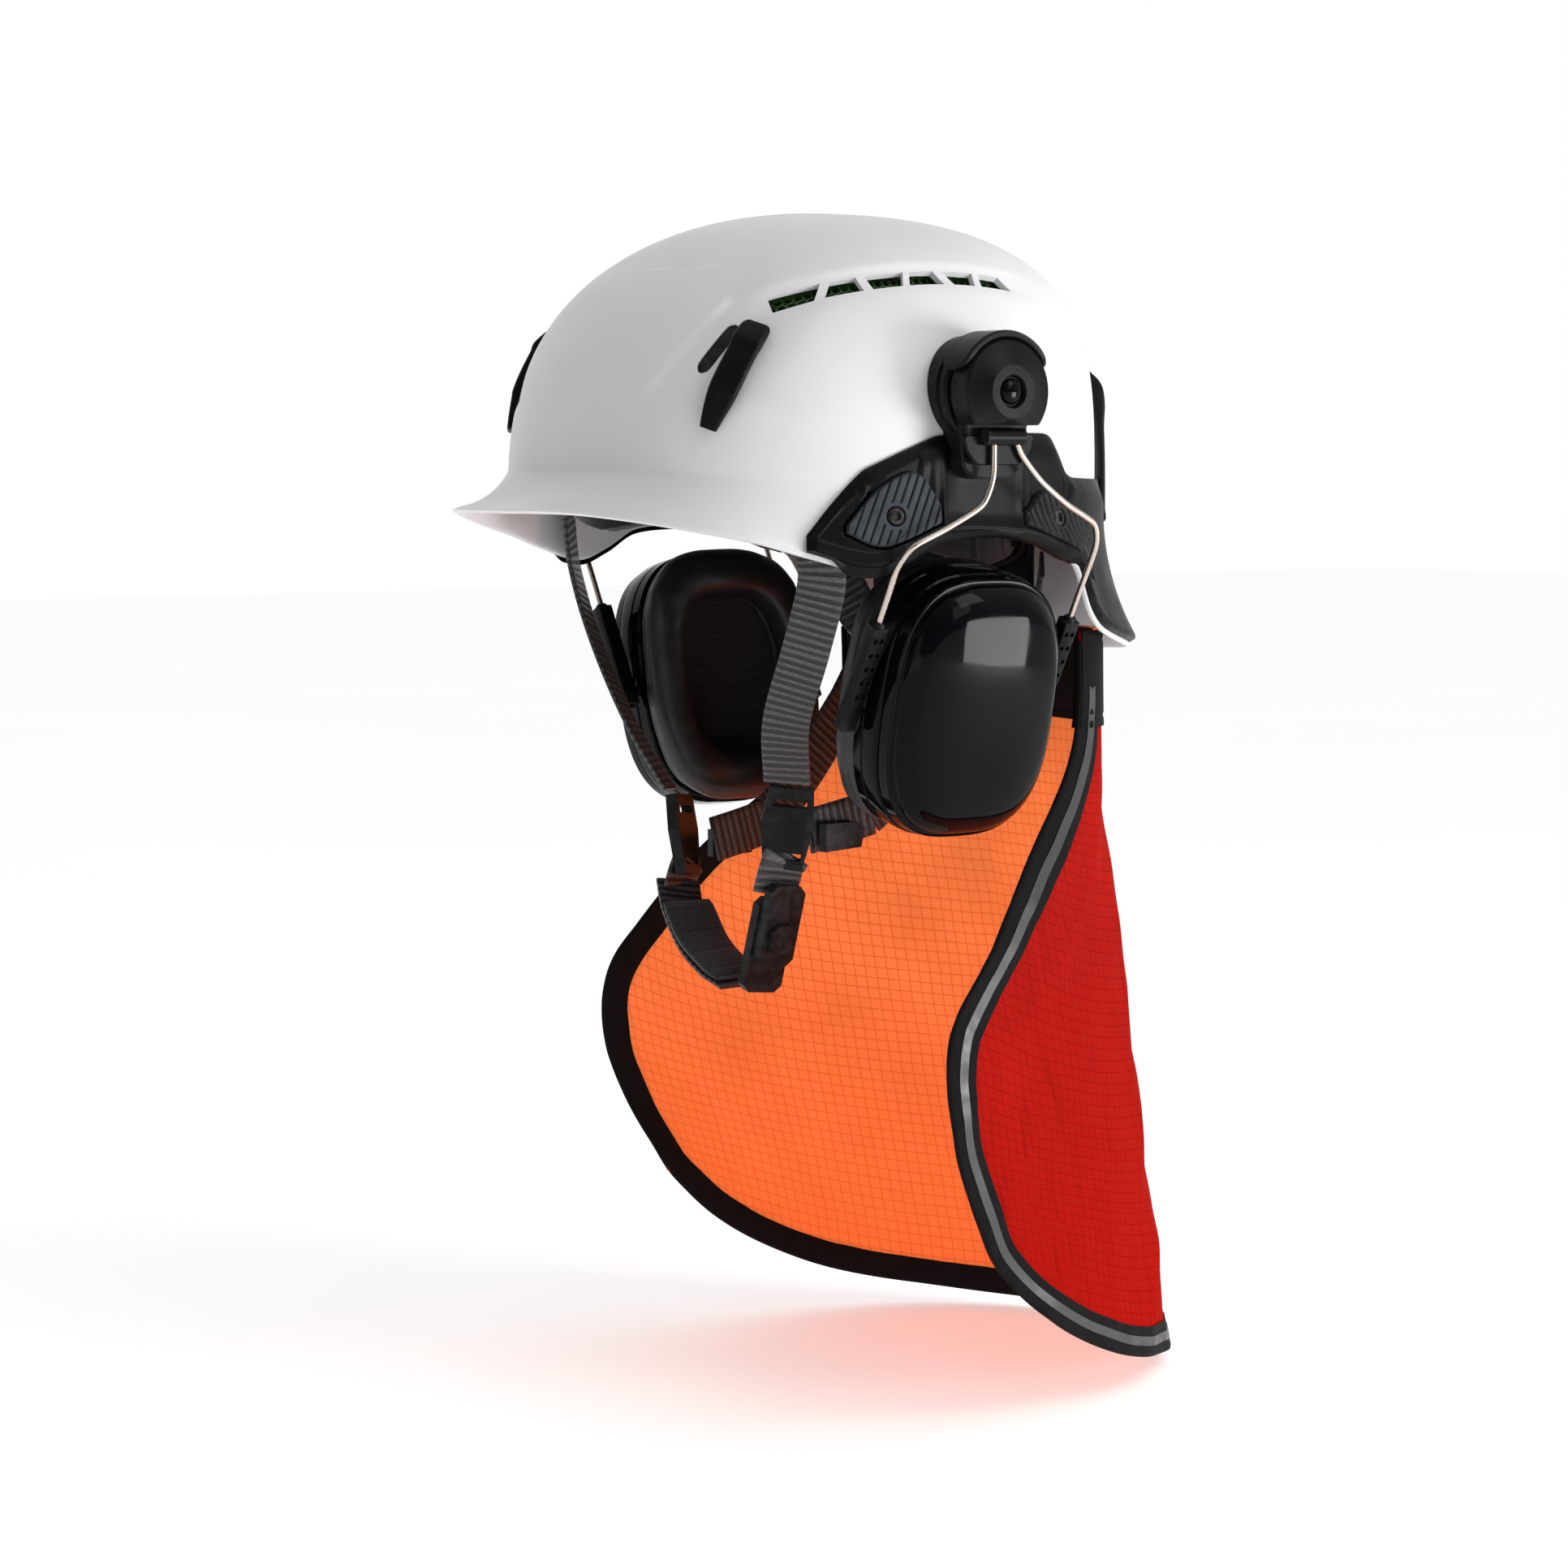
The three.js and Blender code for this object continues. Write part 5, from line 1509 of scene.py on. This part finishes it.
def cape_plan(share, z):
    """Place, direction and length per share along the left half of the cross-section at a height."""
    t = np.clip(np.abs(share), 0, 1.02)
    edge_x, edge_y, rear_y = cape_edge_x(z), cape_edge_y(z), cape_rear_y(z)
    xs = [0 * edge_x, edge_x * 0.62, edge_x * 0.98, edge_x]
    ys = [rear_y, rear_y, rear_y + (edge_y - rear_y) * 0.42, edge_y]
    weights = [(1 - t) ** 3, 3 * t * (1 - t) ** 2, 3 * t * t * (1 - t), t**3]
    slopes = [-3 * (1 - t) ** 2, 3 * (1 - t) ** 2 - 6 * t * (1 - t), 6 * t * (1 - t) - 3 * t * t, 3 * t * t]
    x = sum(w * p for w, p in zip(weights, xs))
    y = sum(w * p for w, p in zip(weights, ys))
    dx = sum(w * p for w, p in zip(slopes, xs))
    dy = sum(w * p for w, p in zip(slopes, ys))
    length = np.hypot(dx, dy)
    return x, y, dx / length, dy / length, length


def cape_drape(share, z):
    """Folds and wrinkles of the hanging cloth, as distances outwards."""
    down = smoothstep((CAPE_BAND_BOTTOM - z) / 90)
    fold_y = share * 190
    pleat = 2.2 * bell((share + 0.18) / 0.035)
    pleat += 1.4 * bell((share - 0.42) / 0.05)
    pleat -= 1.5 * bell((share - 0.1) / 0.09)
    flat = np.stack([fold_y, 0 * z + 0.45 * z, 0 * z], axis=-1)
    broad = ripples(flat * np.array([1, 0.55, 1]), 120, 3) * 3.4
    slanted = ripples(np.stack([fold_y + 0.8 * z, 0.3 * z, 0 * z], axis=-1), 70, 5)
    slanted = 2.6 * (0.3 - np.sqrt(slanted**2 + 0.002))
    creases = ripples(np.stack([fold_y - 0.5 * z, 0.8 * z, 0 * z], axis=-1), 19, 6) * 0.42
    return down * (pleat + broad + slanted + creases)


def cape_point(share, z, outwards):
    share, z, outwards = np.broadcast_arrays(
        np.asarray(share, float), np.asarray(z, float), np.asarray(outwards, float)
    )
    x, y, dx, dy, _ = cape_plan(share, z)
    side = np.where(share < 0, -1.0, 1.0)
    out = outwards + cape_drape(share, z)
    return np.stack([side * (x - dy * out), y + dx * out, z], axis=-1)


def lay_flat(piece, flat):
    """Gives a piece UVs in metres; points past the flat ones, such as end caps, get none."""
    mesh = piece.data
    layer = mesh.uv_layers.new(name="cloth")
    corners = np.zeros(len(mesh.loops), dtype=np.int32)
    mesh.loops.foreach_get("vertex_index", corners)
    flat = flat.reshape(-1, 2) * MM
    extra = np.zeros((len(mesh.vertices) - len(flat), 2))
    layer.data.foreach_set("uv", np.vstack([flat, extra])[corners].ravel())


def build_cape():
    columns, rows = 205, 118
    share = np.linspace(-1, 1, columns)[:, None]
    down = np.linspace(0, 1, rows)[None, :]
    z = CAPE_TOP + (cape_hem_z(np.abs(share)) - CAPE_TOP) * down
    wide = np.broadcast_to(share, z.shape)
    outer, inner = cape_point(wide, z, CLOTH_OUTSIDE), cape_point(wide, z, CLOTH_INSIDE)
    piece = mesh_object("cape_cloth", slab(outer, inner), "cape_shaded_out", 60)
    mesh = piece.data
    mesh.materials.append(finishes["cape_lit_in"])

    middle = (outer + inner) / 2
    along = np.linalg.norm(np.diff(middle, axis=0), axis=2)
    u = np.vstack([np.zeros((1, rows)), np.cumsum(along, axis=0)])
    u = u - u[columns // 2]
    drop = np.linalg.norm(np.diff(middle, axis=1), axis=2)
    v = np.hstack([np.zeros((columns, 1)), np.cumsum(drop, axis=1)])
    flat = np.stack([u, v], axis=-1).reshape(-1, 2)
    lay_flat(piece, np.vstack([flat, flat]))
    # Inner faces take the lit copy of the cloth and outer faces take the shaded copy: painted light and
    # shade.
    inside = [int(min(polygon.vertices) >= columns * rows) for polygon in mesh.polygons]
    mesh.polygons.foreach_set("material_index", inside)
    place(piece, "helmet", "cape_fabric", "neck_cape")

    width = float(u[-1].max() - u[0].min()) * MM
    length = float(v.max()) * MM
    cells = (along[:, :-1] + along[:, 1:]) / 2 * (drop[:-1] + drop[1:]) / 2
    return piece, (width, length), float(cells.sum()) * MM * MM


def border_line():
    """The cape's edge from one top corner round the hem to the other, as shares and heights."""
    hem_share = np.linspace(1, -1, 320)[1:-1]
    side_z = np.linspace(CAPE_TOP - 2, cape_hem_z(1.0), 150)
    side_share = np.ones(len(side_z))
    shares = np.concatenate([side_share, hem_share, -side_share])
    heights = np.concatenate([side_z, cape_hem_z(np.abs(hem_share)), side_z[::-1]])
    return shares, heights


def half_length(z):
    """Length of the cape's cross-section from its middle to one edge."""
    steps = 39
    shares = (np.arange(steps) + 0.5) / steps
    return sum(cape_plan(share, z)[-1] for share in shares) / steps


def share_at(u, z):
    """The share of the cross-section that lies a length u from its middle."""
    shares = np.linspace(0, 1.02, 60)
    step = shares[1]
    pieces = np.array([cape_plan(share + step / 2, z)[-1] for share in shares[:-1]]) * step
    lengths = np.concatenate([np.zeros((1, *np.shape(z))), np.cumsum(pieces, axis=0)])
    columns = lengths.reshape(len(shares), -1).T
    found = [np.interp(value, column, shares) for value, column in zip(np.abs(u).ravel(), columns)]
    return np.reshape(found, np.shape(u)) * np.where(u < 0, -1, 1)


def edge_band(inwards, outwards):
    """Rings of a thin solid along the cape's edge, and the same rings on the flat cloth.

    The section holds distances in from the edge and outwards from the cloth.
    """
    spacing = 1.6
    inwards, outwards = np.array(inwards), np.array(outwards)
    shares, heights = border_line()
    u = shares * half_length(heights)
    flat = np.stack([u, heights], axis=1)
    lengths = np.concatenate([[0], np.cumsum(np.linalg.norm(np.diff(flat, axis=0), axis=1))])
    at = np.linspace(0, lengths[-1], int(lengths[-1] / spacing))
    flat = np.stack([np.interp(at, lengths, flat[:, k]) for k in range(2)], axis=1)
    padding = 9
    kernel = np.hanning(2 * padding + 1)
    kernel /= kernel.sum()
    for k in range(2):
        wide = np.concatenate([np.full(padding, flat[0, k]), flat[:, k], np.full(padding, flat[-1, k])])
        flat[:, k] = np.convolve(wide, kernel, mode="valid")
    along = normalised(np.gradient(flat, axis=0))
    inward = np.stack([along[:, 1], -along[:, 0]], axis=1)
    travelled = np.stack([at, 0 * at, 0 * at], axis=1)
    pucker = ripples(travelled, 11, 12)[:, None]
    wander = ripples(travelled, 40, 13)[:, None]
    distance = inwards + 0.35 * wander * (inwards > 3)
    points = flat[:, None] + inward[:, None] * distance[..., None]
    z = np.minimum(points[..., 1], CAPE_TOP)
    share = share_at(points[..., 0], z)
    rings = cape_point(share, z, outwards + 0.16 * pucker * np.sign(outwards - 1))
    return rings, np.stack(np.broadcast_arrays(at[:, None], inwards), axis=-1)


def build_edging():
    middle = TAPE_WIDTH / 2
    section = [
        (TAPE_WIDTH, 1.6), (TAPE_WIDTH, 2.1), (middle, 2.35), (0.6, 2.3), (-0.5, 1.9), (-0.9, 1.0),
        (-0.5, 0.1), (0.6, -0.3), (middle, -0.35), (11.3, -0.1), (11.3, 0.4),
    ]
    rings, flat = edge_band(*zip(*section))
    binding = add("cape_binding", ring_solid(rings), "tape", "helmet", "webbing", sharp=60)
    lay_flat(binding, flat)

    rings, _ = edge_band(*zip((8.2, 2.2), (8.2, 2.62), (4.2, 2.62), (4.2, 2.2)))
    start = int(len(rings) * 0.02)
    stripe = add("cape_stripe", ring_solid(rings[start:-start]), "reflective", "helmet", "webbing", sharp=60)
    return binding, stripe


def build_top_bands():
    """The black bands that edge the top of the cloth, inside and outside."""
    shares, heights = np.linspace(-0.995, 0.995, 200), np.linspace(CAPE_TOP, CAPE_BAND_BOTTOM, 30)
    wide, z = np.meshgrid(shares, heights, indexing="ij")
    seam = 0.45 * (bell((z - CAPE_TOP + 4) / 0.8) + bell((z - CAPE_BAND_BOTTOM - 4) / 0.8))
    inner = slab(cape_point(wide, z, -1.5 - seam), cape_point(wide, z, -3.1 + seam))
    band = add("cape_band_inside", inner, "tape", "helmet", "webbing", "cape_top_band", sharp=60)
    outer = slab(cape_point(wide, z, 2.6 - seam), cape_point(wide, z, 1.7))
    cover = add("cape_band_outside", outer, "tape", "helmet", "webbing", sharp=60)
    return band, cover


cape, cape_flat, cape_area = build_cape()
cape_trim = [*build_edging(), *build_top_bands()]


# ---- Floor, light and backdrop ----
def plain_floor():
    data = bpy.data.meshes.new("floor")
    reach, height = 8.0, cad_low.z - 0.004
    corners = [(-reach, -reach), (reach, -reach), (reach, reach), (-reach, reach)]
    data.from_pydata([(*corner, height) for corner in corners], [], [(0, 1, 2, 3)])
    floor = bpy.data.objects.new("floor", data)
    bpy.context.scene.collection.objects.link(floor)
    made = Finish("floor_paper", (0.95, 0.95, 0.95), 0.9)
    made.set(Emission_Color=(1, 1, 1, 1), Emission_Strength=0.34)
    made.tint(made.noise(3, 2), [(0.3, 0.985), (0.7, 1.0)])
    data.materials.append(made.material)


def softbox(name, place_at, aim, size, power):
    data = bpy.data.lights.new(name, "AREA")
    data.shape = "RECTANGLE"
    data.size, data.size_y = size
    data.energy = power
    light = bpy.data.objects.new(name, data)
    bpy.context.scene.collection.objects.link(light)
    light.location = place_at
    light.rotation_mode = "QUATERNION"
    light.rotation_quaternion = (Vector(place_at) - Vector(aim)).to_track_quat("Z", "Y")
    light.visible_camera = False


def studio_world():
    """White behind the object as the photograph's backdrop, dimmer in front of it."""
    world = bpy.data.worlds.new("studio")
    bpy.context.scene.world = world
    world.use_nodes = True
    tree = world.node_tree
    tree.nodes.clear()
    direction = tree.nodes.new("ShaderNodeTexCoord").outputs["Generated"]
    dot = tree.nodes.new("ShaderNodeVectorMath")
    dot.operation = "DOT_PRODUCT"
    tree.links.new(direction, dot.inputs[0])
    dot.inputs[1].default_value = (-0.5, 0.5, 0.7)
    strength = tree.nodes.new("ShaderNodeMapRange")
    strength.inputs[1].default_value = -0.35
    strength.inputs[2].default_value = 0.7
    strength.inputs[3].default_value = 0.1
    strength.inputs[4].default_value = 0.86
    tree.links.new(dot.outputs["Value"], strength.inputs[0])
    path = tree.nodes.new("ShaderNodeLightPath")
    seen = tree.nodes.new("ShaderNodeMix")
    tree.links.new(path.outputs["Is Camera Ray"], seen.inputs[0])
    tree.links.new(strength.outputs[0], seen.inputs[2])
    seen.inputs[3].default_value = 1.0
    light = tree.nodes.new("ShaderNodeBackground")
    light.inputs["Color"].default_value = (1, 1, 1, 1)
    tree.links.new(seen.outputs[0], light.inputs["Strength"])
    output = tree.nodes.new("ShaderNodeOutputWorld")
    tree.links.new(light.outputs[0], output.inputs["Surface"])


plain_floor()
studio_world()
softbox("key", (1.9, 0.35, 0.95), (0.0, 0.0, -0.05), (0.8, 0.8), 3)
softbox("top_back", (1.15, 0.5, 1.15), (0.1, 0.0, -0.06), (0.7, 0.8), 6.5)
softbox("low_side", (1.08, 0.7, -0.2), (0.1, 0.0, -0.08), (0.5, 0.4), 11.5)
softbox("fill_front", (0.9, -2.2, 0.1), (0.0, 0.0, -0.15), (1.2, 1.2), 3.5)
bpy.context.scene.view_settings.view_transform = "Standard"
